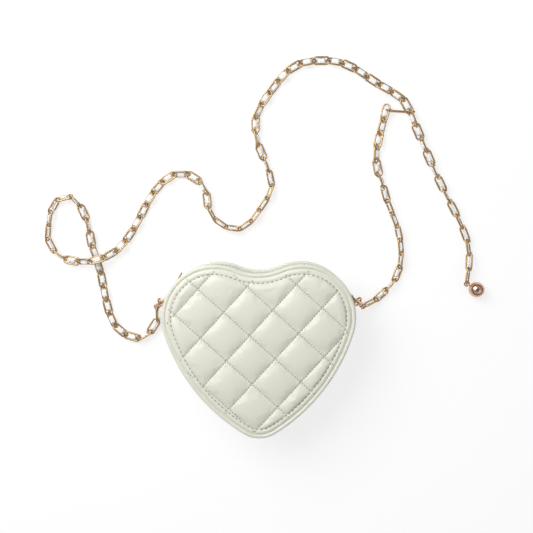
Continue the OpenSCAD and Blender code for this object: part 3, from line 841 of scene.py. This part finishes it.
def quilted_sheet(name, inset, z):
    """The padded sheet: pinned along its stitched lines and blown up between them."""
    q = quilting()
    corner, first, second, side = lattice()
    cell = side / q.cells
    sheet, outline = heart_sheet(name, inset, cell, angle_of(first), corner + first * side, z, 8 * q.cells)
    edge = edge_line()
    held = []
    for vertex in sheet.data.vertices:
        gaps = [to_line(vertex.co.xy - corner, way, side) for way in (first, second)]
        here = outline.inset(vertex.co)
        held.append(here < edge + 0.55 * cell or min(gaps) < 0.3 * cell)
        if not held[-1]:
            vertex.co.z += q.pillow_rise * pillow(gaps + [2.2 * (here - edge)])
    swell(sheet, held)
    tallest = max(v.co.z for v in sheet.data.vertices) - z
    for vertex in sheet.data.vertices:
        vertex.co.z = z + (vertex.co.z - z) * (q.pillow_rise * PAD_SHARE / tallest)
    modify(sheet, "SUBSURF", levels=1, render_levels=1)
    return sheet, outline


# Stores painted shade for the stitched grooves as the seam attribute.
def paint_seam_shade(sheet, marks):
    sheet.data.attributes.new("seam", "FLOAT", "POINT").data.foreach_set("value", marks)


def pucker(sheet, outline, z):
    """Draws the stitched lines down, puckers the leather along them, rounds the border and marks painted shade along
    the stitched lines.
    """
    q = quilting()
    corner, first, second, side = lattice()
    seam, edge = seam_line(), edge_line()
    pitch = side / q.per_diamond
    # Painted shade: a dark band of this width along the edge stitching and the quilting lines.
    shade_width, depth = 0.5 * MM, 0.1 * MM
    marks = []
    for vertex in sheet.data.vertices:
        inset = outline.inset(vertex.co)
        at = vertex.co.xy - corner
        here = Vector((vertex.co.x, vertex.co.y, 0))
        gap = abs(inset - edge)
        drop = 1.1 * q.groove * hump(gap, 0.7 * MM)
        shade_mark = 0.2 * hump(gap, shade_width)
        share = 1.0 if inset > edge else 0.45
        for direction, other in ((first, second), (second, first)):
            gap = to_line(at, direction, side)
            phase = math.cos(2 * math.pi * at.dot(other) / pitch)
            drop += share * (q.groove * hump(gap, 0.75 * MM) + depth * phase * hump(gap, 1.1 * MM))
            shade_mark = max(shade_mark, 0.15 * share * hump(gap, shade_width))
        if inset < edge:
            share = max(0.0, (inset - seam) / q.border)
            vertex.co.z = z - 0.75 * MM * (1 - share) ** 2.6 + 0.28 * MM * math.sin(math.pi * min(1.0, share))
            vertex.co.z -= max(0.0, seam - inset) * 0.8
        vertex.co.z += 0.05 * MM * noise.noise(here * 260) - drop
        marks.append(shade_mark)
    paint_seam_shade(sheet, marks)


class PURSE_OT_quilted_front(bpy.types.Operator):
    """Makes the quilted leather front, blown up between its stitched lines"""

    bl_idname = "purse.quilted_front"
    bl_label = "Quilted front"

    def execute(self, context):
        sheet, outline = quilted_sheet("quilted_front", 2.2 * MM, BAG_D)
        pucker(sheet, outline, BAG_D)
        close_under(sheet, 0.6 * MM)
        smooth(sheet, 60)
        deliver(sheet, "front", "quilted_leather", "front_panel")
        return {"FINISHED"}


def height_over(obj):
    """A function that finds the height of a piece over a point, or under it."""
    tree = BVHTree.FromObject(obj, bpy.context.evaluated_depsgraph_get())

    def find(p, up=UP):
        hit = tree.ray_cast(raised(p, 0.1 * up.z), -up)
        return hit[0].z if hit[0] else None

    return find


def quilting_rows(find, lift):
    """Places of the stitches along the quilting lines, over the border too."""
    corner, first, second, side = lattice()
    outline = Outline()
    seam, edge = seam_line(), edge_line()
    count = quilting().per_diamond
    pitch = side / count
    rows = []
    for across, along in ((first, second), (second, first)):
        for k in range(-LATTICE_REACH, LATTICE_REACH + 1):
            for m in range(-LATTICE_REACH * count, LATTICE_REACH * count):
                at = corner + across * (k * side) + along * ((m + 0.5) * pitch)
                inset = outline.inset(at)
                if inset < seam + CLEAR_OF_PIPING or abs(inset - edge) < CLEAR_OF_EDGE_ROW:
                    continue
                a, b = at - along * (0.3 * pitch), at + along * (0.3 * pitch)
                za, zb, z = find(a), find(b), find(at)
                if None not in (za, zb, z):
                    rows.append((raised(at, z + lift), (raised(b, zb) - raised(a, za)).normalized(), UP))
    return rows


def edge_rows(find, lift, inset, up=UP):
    """Places of the stitches round the edge of a panel, seen from above or from below."""
    found = [(at, along.to_3d(), find(at, up)) for at, along in spaced(heart(inset, 2), quilting().edge_pitch)]
    return [(raised(at, z + lift * up.z), along, up) for at, along, z in found if z is not None]


class PURSE_OT_front_stitching(bpy.types.Operator):
    """Sews the quilting lines and the edge of the front"""

    bl_idname = "purse.front_stitching"
    bl_label = "Front stitching"

    def execute(self, context):
        q = quilting()
        find = height_over(bpy.data.objects["quilted_front"])
        length = 0.66 * lattice()[3] / q.per_diamond
        sew("quilting_stitches", "front", quilting_rows(find, 0.05 * MM), length, q.thread)
        rows = edge_rows(find, 0.08 * MM, edge_line())
        sew("edge_stitches", "front", rows, 0.62 * q.edge_pitch, 1.25 * q.thread)
        return {"FINISHED"}


# Back, piping, gusset and lining

BACK_TOP = 1.35 * MM
BACK_RIDGE = 0.45 * MM
STITCHES_FROM_ZIP = 5.2 * MM
STITCH_GAP = 2.8 * MM
TAPE_THICKNESS = 0.56 * MM
LINING_THICKNESS = 0.54 * MM
CLOTH_GAP = 0.02 * MM


class PURSE_OT_back(bpy.types.Operator):
    """Makes the smooth leather back with its stitched edge"""

    bl_idname = "purse.back"
    bl_label = "Back"

    def execute(self, context):
        q = quilting()
        inset = seam_line()
        sheet, outline = heart_sheet("back_leather", inset - 0.6 * MM, 1.5 * MM, 0, Vector((0, 0)), 0, 96)
        marks = []
        for vertex in sheet.data.vertices:
            gap = outline.inset(vertex.co)
            line = gap - edge_line()
            vertex.co.z = BACK_RIDGE * hump(line, 1.3 * MM) + max(0.0, inset + 0.8 * MM - gap) * 0.5
            # Painted shade along the edge stitching of the back.
            marks.append(hump(line, 0.6 * MM))
        paint_seam_shade(sheet, marks)
        modify(sheet, "SUBSURF", levels=1, render_levels=1)
        close_under(sheet, -BACK_TOP)
        floor = min(v.co.z for v in sheet.data.vertices)
        for vertex in sheet.data.vertices:
            vertex.co.z = min(BACK_TOP, vertex.co.z - floor)
        smooth(sheet, 50)
        find = height_over(sheet)
        deliver(sheet, "bag", "quilted_leather", "back_panel")
        rows = edge_rows(find, -0.05 * MM, edge_line(), -UP)
        sew("back_stitches", "bag", rows, 0.62 * q.edge_pitch, q.thread)
        return {"FINISHED"}


class PURSE_OT_piping(bpy.types.Operator):
    """Makes the leather covered piping round both panels"""

    bl_idname = "purse.piping"
    bl_label = "Piping"

    def execute(self, context):
        radius = bag().piping_radius
        for side, body in (("front", "front"), ("back", "bag")):
            z = sum(z_span(side + "_piping")) / 2
            line = [raised(p, z + 0.07 * MM * noise.noise(raised(p, z) * 60)) for p in heart(radius)]
            piping = tube(side + "_edge_piping", line, radius * 0.97)
            for vertex in piping.data.vertices:
                vertex.co += vertex.normal * 0.06 * MM * noise.noise(vertex.co * 420)
            smooth(piping)
            deliver(piping, body, "bag_leather", side + "_piping")
        return {"FINISHED"}


def split_y():
    """Height in the outline at which the zip ends and the lower wall begins."""
    return lobe_centre().y + bag().lobe_radius * math.sin(math.radians(10))


def gusset_line(inset, part):
    """The part of the outline above or below the ring tabs, cut at the same place."""
    split = split_y()
    points = heart(inset)
    start = next(i for i, p in enumerate(points) if p.y < split)
    end = next(i for i in range(len(points) - 1, 0, -1) if points[i].y < split)
    right, left = (
        a.lerp(b, (split - a.y) / (b.y - a.y))
        for a, b in ((points[start - 1], points[start]), (points[end], points[end + 1]))
    )
    if part == "lower":
        return [right] + points[start : end + 1] + [left]
    return [left] + points[end + 1 :] + points[:start] + [right]


def heights(span, steps):
    low, high = span
    return [low + (high - low) * i / steps for i in range(steps + 1)]


class PURSE_OT_gusset(bpy.types.Operator):
    """Makes the leather walls below the tabs and beside the zip, with their topstitching"""

    bl_idname = "purse.gusset"
    bl_label = "Gusset"

    def execute(self, context):
        b = bag()
        outline = Outline()
        low, high = z_span("lower_gusset")

        def belly(p):
            share = (p.z - low) / (high - low)
            wave = 0.22 * MM * noise.noise(Vector((p.x, p.y, p.z * 1.5)) * 55)
            return (0.55 * MM + wave) * math.sin(math.pi * min(1, max(0, share))) ** 0.8

        line = gusset_line(b.wall_inset, "lower")
        lower = wall("lower_leather_wall", line, heights((low, high), 14), b.wall_thickness, belly)
        deliver(lower, "opening", "gusset_leather_painted_shade", "lower_gusset")
        line = gusset_line(b.wall_inset, "upper")
        seam = spaced(gusset_line(b.wall_inset - 0.12 * MM, "upper"), STITCH_GAP, False)[1:-1]
        for side, body, span, way in (("rear", "bag", REAR_STRIP, -1), ("front", "front", FRONT_STRIP, 1)):

            def folded(p, edge=span[0] if way > 0 else span[1], run=span[1] - span[0]):
                from_zip = abs(edge - p.z) / run
                wave = 0.12 * MM * noise.noise(p * 70)
                return wave + 0.3 * MM * hump(from_zip - 0.07, 0.1) - 0.15 * MM * hump(from_zip - 0.2, 0.05)

            name = side + "_leather_strip"
            strip = wall(name, line, heights(span, 8), b.wall_thickness, folded, 0.35 * MM)
            deliver(strip, body, "gusset_leather_painted_shade", side + "_gusset_strip")
            z = ZIP_Z + way * STITCHES_FROM_ZIP
            rows = [(raised(at, z), along.to_3d(), outline.at(at)[1].to_3d()) for at, along in seam]
            sew(name + "_stitches", body, rows, 1.8 * MM, quilting().thread * 0.9)
        return {"FINISHED"}


SOFTENED_NODES = (
    ("rear_zip_teeth", "rear_teeth", "bag", 0.16, "zip_plastic"),
    ("front_zip_teeth", "front_teeth", "front", 0.16, "zip_plastic"),
    ("zip_end_stops", "end_stops", "bag", 0.25, "light_gold"),
    ("zip_slider", "slider_body", "slider", 0.25, "light_gold"),
    ("zip_pull", "slider_pull", "pull", 0.2, "light_gold"),
)


def cloth_wall(name, node, body, part, thickness, finish_name):
    """A strip of cloth on the inner face of the leather wall."""
    b = bag()
    line = gusset_line(b.wall_inset + b.wall_thickness + CLOTH_GAP, part)
    strip = wall(name, line, heights(z_span(node), 6), thickness, bevel=0.1 * MM)
    deliver(strip, body, finish_name, node)


class PURSE_OT_zip(bpy.types.Operator):
    """Makes the woven zip tapes and rounds the teeth, stops, slider and pull"""

    bl_idname = "purse.zip"
    bl_label = "Zip"

    def execute(self, context):
        for side, body in (("rear", "bag"), ("front", "front")):
            cloth_wall(side + "_woven_tape", side + "_zip_tape", body, "upper", TAPE_THICKNESS, "zip_cloth")
        for node, name, body, width, finish_name in SOFTENED_NODES:
            deliver(softened_copy(node, name, width * MM), body, finish_name, node)
        return {"FINISHED"}


class PURSE_OT_lining(bpy.types.Operator):
    """Makes the lining cloth of the back, the front and the walls"""

    bl_idname = "purse.lining"
    bl_label = "Lining"

    def execute(self, context):
        for side, body in (("back", "bag"), ("front", "front")):
            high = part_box(side + "_lining")[1]
            name, inset = side + "_lining_cloth", BAG_W / 2 - high[0]
            sheet = heart_sheet(name, inset, 2.2 * MM, 0.1, Vector((0, 0)), high[2] - 0.12 * MM, 66)[0]
            for vertex in sheet.data.vertices:
                vertex.co.z += 0.1 * MM * noise.noise(vertex.co * 90)
            close_under(sheet, 0.3 * MM)
            smooth(sheet, 50)
            deliver(sheet, body, "lining_cloth", side + "_lining")
        cloth_wall("wall_lining_cloth", "gusset_lining", "opening", "lower", LINING_THICKNESS, "lining_cloth")
        return {"FINISHED"}


# Ring tabs

TAB_INNER, TAB_OUTER = 34.62 * MM, 35.62 * MM
TAB_LOOP, BAR_RADIUS = 1.43 * MM, 36.05 * MM
TAB_LOW, TAB_BAR = math.radians(2), math.radians(19.5)
TAB_HALF = 4.6 * MM
TAB_THICKNESS = 0.94 * MM
TAB_STITCHES = [(3.4 + 1.45 * k, edge * 3.7, False) for k in range(8) for edge in (-1, 1)]
TAB_STITCHES += [(turn, k * 1.02, True) for k in range(-3, 4) for turn in (3, 13.9)]
TAB_STITCH_RADIUS = 36.12 * MM


def tab_line(side):
    """The tab's leather seen from the front: along the gusset, round the ring's bar and back."""
    lobe = lobe_centre()
    bar = lobe + BAR_RADIUS * ray(TAB_BAR)
    points = arc(lobe, TAB_INNER, TAB_LOW, TAB_BAR, 16)
    points += arc(bar, TAB_LOOP, TAB_BAR + math.pi, TAB_BAR, 12)[1:]
    for i in range(1, 21):
        share = i / 20
        rise = (BAR_RADIUS + TAB_LOOP - TAB_OUTER) * max(0.0, 1 - share / 0.32) ** 1.6
        points.append(lobe + (TAB_OUTER + rise) * ray(TAB_BAR + (TAB_LOW - TAB_BAR) * share))
    return [Vector((side * p.x, p.y)) for p in points]


class PURSE_OT_ring_tabs(bpy.types.Operator):
    """Folds a leather tab round the bar of each ring and sews it to the gusset"""

    bl_idname = "purse.ring_tabs"
    bl_label = "Ring tabs"

    def execute(self, context):
        lobe = lobe_centre()
        for side, name in ((-1, "left"), (1, "right")):
            tab = line_mesh(name + "_leather_tab", tab_line(side))
            pull_up(tab, heights((ZIP_Z - TAB_HALF, ZIP_Z + TAB_HALF), 8))
            modify(tab, "SOLIDIFY", thickness=TAB_THICKNESS, offset=0, use_even_offset=True)
            face_out(tab)
            round_edges(tab, 0.22 * MM, 50)
            deliver(tab, "bag", "bag_leather", name + "_ring_tab")
            rows = []
            for turn, rise, upright in TAB_STITCHES:
                out = ray(math.radians(turn)).to_3d()
                out.x *= side
                along = UP if upright else Vector((-out.y, out.x, 0))
                centre = Vector((side * lobe.x, lobe.y, ZIP_Z + rise * MM))
                rows.append((centre + TAB_STITCH_RADIUS * out, along, out))
            sew(name + "_leather_tab_stitches", "bag", rows, 0.7 * MM, 0.16 * MM)
        return {"FINISHED"}


# Chain and woven strip, laid on the floor

LEFT_ROUTE = [
    (-74.13, 26.055, 0, 44), (-74.2, 15.5, 0, 64), (-80.5, 6.8, 0, 16), (-87.5, 3.1, 0, 34), (-101.5, 8.5, 0, 8),
    (-109, 22.5, 0, 4), (-115, 54, 0, 10), (-120, 70, 0, 32), (-123, 88, 0, 60), (-130, 102, 0, 82),
    (-138, 106, 0, 90), (-147, 100, 0, 88), (-151, 85, 0, 78), (-151, 72, 0, 62), (-142, 62, 0, 44),
    (-130, 59, 2, 22), (-117, 60, 6, 5), (-103, 66, 2, 0), (-90, 82, 0, 0), (-76, 107, 0, 2),
    (-63.5, 119.5, 0, 16), (-51, 121, 0, 18), (-41.5, 115, 0, 34), (-38, 110.5, 0, 22), (-35.5, 94.5, 0, 70),
    (-26, 84, 0, 90), (-12, 82, 0, 90), (-2, 92, 0, 90), (9, 110, 0, 84), (6, 126, 0, 66), (0, 140, 0, 46),
    (-2, 160, 0, 22), (10, 180, 0, 4), (28, 197, 0, 0), (58, 198, 0, 0), (84, 183, 0, 6), (102, 171, 2, 26),
    (109, 156, 2, 42), (126, 118, 0, 70), (148, 72, 0, 90), (147.4, 42.6, 2.2, 90),
]
RIGHT_ROUTE = [
    (74.73, 26.255, 0.4, 88), (80, 28, 0, 72), (86.5, 33.5, 0, 60), (93, 40, 0, 54), (98, 47, 0, 58), (101, 58, 0, 72),
    (101, 68, 0, 84), (99, 80, 0, 90), (95, 91, 0, 86), (91, 101, 0, 70), (88, 112, 0, 52), (84, 123, 0, 32),
    (83, 134, 0, 14), (85, 145, 0, 2), (88.2, 157.5, 0, 0), (90.4, 167.4, 0.6, 0),
]
FLOOR_GAP = 0.25 * MM
STRIP_REACH = 2.37 * MM
STRIP_DROP = 2.07 * MM
PAD_RISE = 0.45 * MM
HOOK_SLACK = 0.25 * MM
CURVE_STEPS = 10
RISE_START, RISE_RUN = 1.25 * MM, 1.75 * MM
FULL_START, FULL_RUN = 1.15 * MM, 1.85 * MM
STRIP_STEPS = 22
SECTION = [(-0.5, 0), (-0.45, 0.27), (-0.27, 0.44), (0, 0.5), (0.27, 0.44), (0.45, 0.27)]
SECTION += [(-u, -v) for u, v in SECTION]


def curved(route):
    """A smooth curve through the points of a route, each a place and a roll."""
    found = []
    for i in range(len(route) - 1):
        before, start, end, after = (Vector(route[j]) for j in (max(i - 1, 0), i, i + 1, min(i + 2, len(route) - 1)))
        square = 2 * before - 5 * start + 4 * end - after
        cube = 3 * start - before - 3 * end + after
        for step in range(CURVE_STEPS):
            t = step / CURVE_STEPS
            found.append(0.5 * (2 * start + (end - before) * t + square * t**2 + cube * t**3))
    return found + [Vector(route[-1])]


def chain_joints(route):
    """Places where the links meet, each with the roll of the chain there."""
    c = chain()
    half = (c.link_width - c.link_wire) / 2
    places, rolls = [], []
    for x, y, lift, roll in curved(route):
        lean = min(math.pi / 2, abs(math.radians(roll)) + c.link_tilt)
        stand = max(STRIP_REACH, half * math.sin(lean) + c.link_wire / 2)
        places.append(Vector((x * MM, y * MM, FLOOR_GAP + max(lift, 0) * MM + stand)))
        rolls.append(math.radians(roll))
    return [
        (places[k].lerp(places[k + 1], share), rolls[k] + (rolls[k + 1] - rolls[k]) * share)
        for k, share in even_steps(places, c.link_pitch)
    ]


def link_model():
    """One oval link: a ring of wire pulled apart along X."""
    c = chain()
    half = (c.link_width - c.link_wire) / 2
    pull = (c.link_pitch + c.link_wire + 2 * HOOK_SLACK) / 2 - half
    pick()
    bpy.ops.mesh.primitive_torus_add(
        major_segments=56, minor_segments=12, major_radius=half, minor_radius=c.link_wire / 2
    )
    obj = started("link_model")
    for side in (-1, 1):
        choose(obj, "VERT", lambda vertex: side * vertex.co.x > 0.05 * MM)
        bpy.ops.transform.translate(value=(side * pull, 0, 0))
        done()
    return obj


def link_places(joints):
    """Where each link of a strand goes, tilted to and fro along the chain."""
    c = chain()
    places = []
    for i, ((a, roll_a), (b, roll_b)) in enumerate(zip(joints, joints[1:])):
        d = b - a
        change = (d.length - c.link_pitch) / 2
        tilt = c.link_tilt if i % 2 == 0 else -c.link_tilt
        turn = (
            Matrix.Translation((a + b) / 2)
            @ Matrix.Rotation(math.atan2(d.y, d.x), 4, "Z")
            @ Matrix.Rotation(-math.asin(d.z / d.length), 4, "Y")
            @ Matrix.Rotation((roll_a + roll_b) / 2 + tilt, 4, "X")
        )
        places.append(lambda p, turn=turn, change=change: turn @ Vector((p.x + math.copysign(change, p.x), p.y, p.z)))
    return places


def eased(run, start, length):
    """Goes from 0 at start to 1 a length further, with soft ends."""
    share = min(1.0, max(0.0, (run - start) / length))
    return share * share * (3 - 2 * share)


def strip_rings(joints):
    """Sections of the strip, low and narrow under each crossing and broad in each window.
    The strip starts a few sections inside its first link and ends inside its last."""
    c = chain()
    sections = []
    for (a, roll_a), (b, roll_b) in zip(joints, joints[1:]):
        length = (b - a).length
        d = (b - a) / length
        heading = math.atan2(d.y, d.x)
        for k in range(STRIP_STEPS):
            run = length * k / STRIP_STEPS
            near = min(run, length - run)
            rise = -STRIP_DROP + (STRIP_DROP + PAD_RISE) * eased(near, RISE_START, RISE_RUN)
            full = eased(near, FULL_START, FULL_RUN)
            width = c.strip_waist + (c.strip_width - c.strip_waist) * full
            thickness = c.strip_thickness + (c.pad_thickness - c.strip_thickness) * full
            roll = roll_a + (roll_b - roll_a) * run / length
            flat = math.cos(roll)
            side = Vector((-math.sin(heading) * flat, math.cos(heading) * flat, math.sin(roll)))
            sections.append((a + d * run, side * width, d.cross(side), rise, thickness))
    return sections[5:-4]


def woven_strip(name, joints):
    """The leather strip, wrapped from a long grid round its sections."""
    sections = strip_rings(joints)
    across = len(SECTION)
    pick()
    bpy.ops.mesh.primitive_grid_add(x_subdivisions=across, y_subdivisions=len(sections) - 1, size=1)
    obj = started(name)
    for i, vertex in enumerate(obj.data.vertices):
        row, column = divmod(i, across + 1)
        at, side, up, rise, thickness = sections[row]
        u, v = SECTION[column % across]
        vertex.co = at + side * u + up * (rise + v * thickness)
    edit(obj, "EDGE", "SELECT")
    bpy.ops.mesh.remove_doubles(threshold=0.001 * MM)
    bpy.ops.mesh.select_all(action="DESELECT")
    bpy.ops.mesh.select_non_manifold()
    bpy.ops.mesh.fill_holes(sides=0)
    done()
    face_out(obj)
    smooth(obj, 60)
    return obj


class PURSE_OT_chain_belt(bpy.types.Operator):
    """Lays both strands of the chain on the floor, with the leather strip woven through their links"""

    bl_idname = "purse.chain_belt"
    bl_label = "Chain belt"

    def execute(self, context):
        for side, route, ends in (
            ("left", LEFT_ROUTE, ["charm_eye", "ball_charm"]),
            ("right", RIGHT_ROUTE, ["closure_hook"]),
        ):
            joints = chain_joints(route)
            links = copies(side + "_links", link_model(), link_places(joints))
            face_out(links)
            smooth(links)
            deliver(links, "bag", "light_gold", side + "_chain_links")
            strip = woven_strip(side + "_strip", joints)
            deliver(strip, "bag", "strap_leather", side + "_woven_strip")
            path = [at for at, roll in joints]
            length = sum((b - a).length for a, b in zip(path, path[1:]))
            tuple(path[0])
            [tuple(p) for p in path]
        return {"FINISHED"}


# Stage


def floor_finish():
    """White to the camera and to metal, with the shadow kept near the purse; plain pale paint to everything else."""
    s, place = material("studio_floor")
    light = s.node("LightPath")
    seen = s.math("MAXIMUM", light["Is Glossy Ray"], light["Is Transmission Ray"])
    seen = s.math("MAXIMUM", light["Is Camera Ray"], seen)
    speck = s.ranged(s.noise(place, 300.0), 0.3, 0.7, 0.985, 1.0)
    taken = s.ranged(s.vector("LENGTH", place)["Value"], 0.3, 0.9, studio().shadow, 0.0)
    paint = s.node("CombineColor", i0=taken, i1=taken, i2=taken)[0]
    base = s.mixed(seen, (0.8, 0.8, 0.79, 1.0), paint)
    glow = s.math("MULTIPLY", s.math("MULTIPLY", speck, 1.07), s.math("SUBTRACT", 1.0, taken))
    strength = s.math("MULTIPLY", seen, glow)
    white = (1.0, 1.0, 1.0, 1.0)
    s.shade(
        Base_Color=base, Roughness=0.9, Specular_IOR_Level=0.0, Emission_Color=white, Emission_Strength=strength
    )


CAMERA_PLACE = Vector((0.011922, 0.087947, 0.5))
CAMERA_TARGET = Vector((0.004955, 0.054451, 0))
CAMERA_ROLL = -0.00649
CAMERA_ANGLE = 0.731958
SKY_BANDS = ((0.0, 0.5), (0.30, 0.18), (0.44, 0.6), (0.64, 1.3), (0.84, 1.25), (1.0, 0.2))


def sky():
    """Soft light from above, dimmer near the horizon, and plain white behind everything."""
    world = bpy.data.worlds.new("studio_sky")
    bpy.context.scene.world = world
    world.use_nodes = True
    s = Sheet(world.node_tree)
    up = s.node("SeparateXYZ", Vector=s.node("TexCoord")["Generated"])[2]
    bands = s.node("ValToRGB", Fac=s.ranged(up, -0.2, 1.0))[0]
    stops = bands.node.color_ramp.elements
    while len(stops) < len(SKY_BANDS):
        stops.new(0.5)
    for stop, (at, value) in zip(stops, SKY_BANDS):
        stop.position = at
        stop.color = (value, value, value * 1.01, 1)
    lit = s.node("Background", Color=bands, Strength=studio().sky)[0]
    white = s.node("Background", Color=(1.0, 1.0, 1.0, 1.0), Strength=1.0)[0]
    both = s.node("MixShader", i0=s.node("LightPath")["Is Camera Ray"], i1=lit, i2=white)[0]
    s.node("OutputWorld", i0=both)


def lamp(name, place, target, size, energy):
    pick()
    bpy.ops.object.light_add(type="AREA", location=place)
    obj = started(name)
    obj.data.size = size
    obj.data.energy = energy
    obj.rotation_euler = (Vector(target) - Vector(place)).to_track_quat("-Z", "Y").to_euler()


def camera():
    """Looks down on the purse from above its lobes, a little from the right."""
    forward = (CAMERA_TARGET - CAMERA_PLACE).normalized()
    right = forward.cross(Vector((0, 1, 0))).normalized()
    up = right.cross(forward)
    cos, sin = ray(CAMERA_ROLL)
    across = cos * right + sin * up
    above = -sin * right + cos * up
    turn = Matrix((across, above, -forward)).transposed()
    pick()
    bpy.ops.object.camera_add(location=CAMERA_PLACE, rotation=turn.to_euler())
    obj = started("product_camera")
    obj.data.sensor_fit = "HORIZONTAL"
    obj.data.angle = CAMERA_ANGLE
    obj.data.clip_start = 0.01
    bpy.context.scene.camera = obj


class PURSE_OT_stage(bpy.types.Operator):
    """Sets the pale floor, the soft lamps and the camera"""

    bl_idname = "purse.stage"
    bl_label = "Stage"

    def execute(self, context):
        st = studio()
        camera()
        pick()
        bpy.ops.mesh.primitive_grid_add(
            x_subdivisions=8, y_subdivisions=8, size=st.floor_size, location=(0, 0, -0.1 * MM)
        )
        floor = started("floor")
        settle(floor)
        floor_finish()
        finish(floor, "studio_floor")
        sky()
        lamp("key_light", (-0.34, 0.42, 0.56), (0.01, 0.06, 0), 0.52, st.key_power)
        lamp("fill_light", (0.7, -0.35, 0.8), (0, 0.05, 0), 0.8, st.fill_power)
        context.scene.view_settings.view_transform = "Standard"
        pick()
        return {"FINISHED"}


class PURSE_PT_tools(bpy.types.Panel):
    """Lists the steps that dress the purse and their sizes"""

    bl_idname = "PURSE_PT_tools"
    bl_label = "Heart Purse"
    bl_space_type = "VIEW_3D"
    bl_region_type = "UI"
    bl_category = "Purse"

    def draw(self, context):
        for step in STEPS:
            self.layout.operator(step.bl_idname)
        for store in STORES:
            box = self.layout.box()
            settings = getattr(context.scene, store)
            for name in settings.__annotations__:
                box.prop(settings, name)


STEPS = (
    PURSE_OT_stage,
    PURSE_OT_finishes,
    PURSE_OT_chain_belt,
    PURSE_OT_quilted_front,
    PURSE_OT_front_stitching,
    PURSE_OT_back,
    PURSE_OT_piping,
    PURSE_OT_gusset,
    PURSE_OT_zip,
    PURSE_OT_lining,
    PURSE_OT_ring_tabs,
)

STORES = {
    "purse_bag": PurseBag,
    "purse_quilting": PurseQuilting,
    "purse_chain": PurseChain,
    "purse_colours": PurseColours,
    "purse_stage": PurseStage,
}


def register():
    for item in (*STORES.values(), *STEPS, PURSE_PT_tools):
        bpy.utils.register_class(item)
    for name, kind in STORES.items():
        setattr(bpy.types.Scene, name, PointerProperty(type=kind))


def unregister():
    for name in STORES:
        delattr(bpy.types.Scene, name)
    for item in (PURSE_PT_tools, *STEPS, *STORES.values()):
        bpy.utils.unregister_class(item)


def main():
    register()
    for step in STEPS:
        getattr(bpy.ops.purse, step.bl_idname.split(".")[1])()


if __name__ == "__main__":
    main()
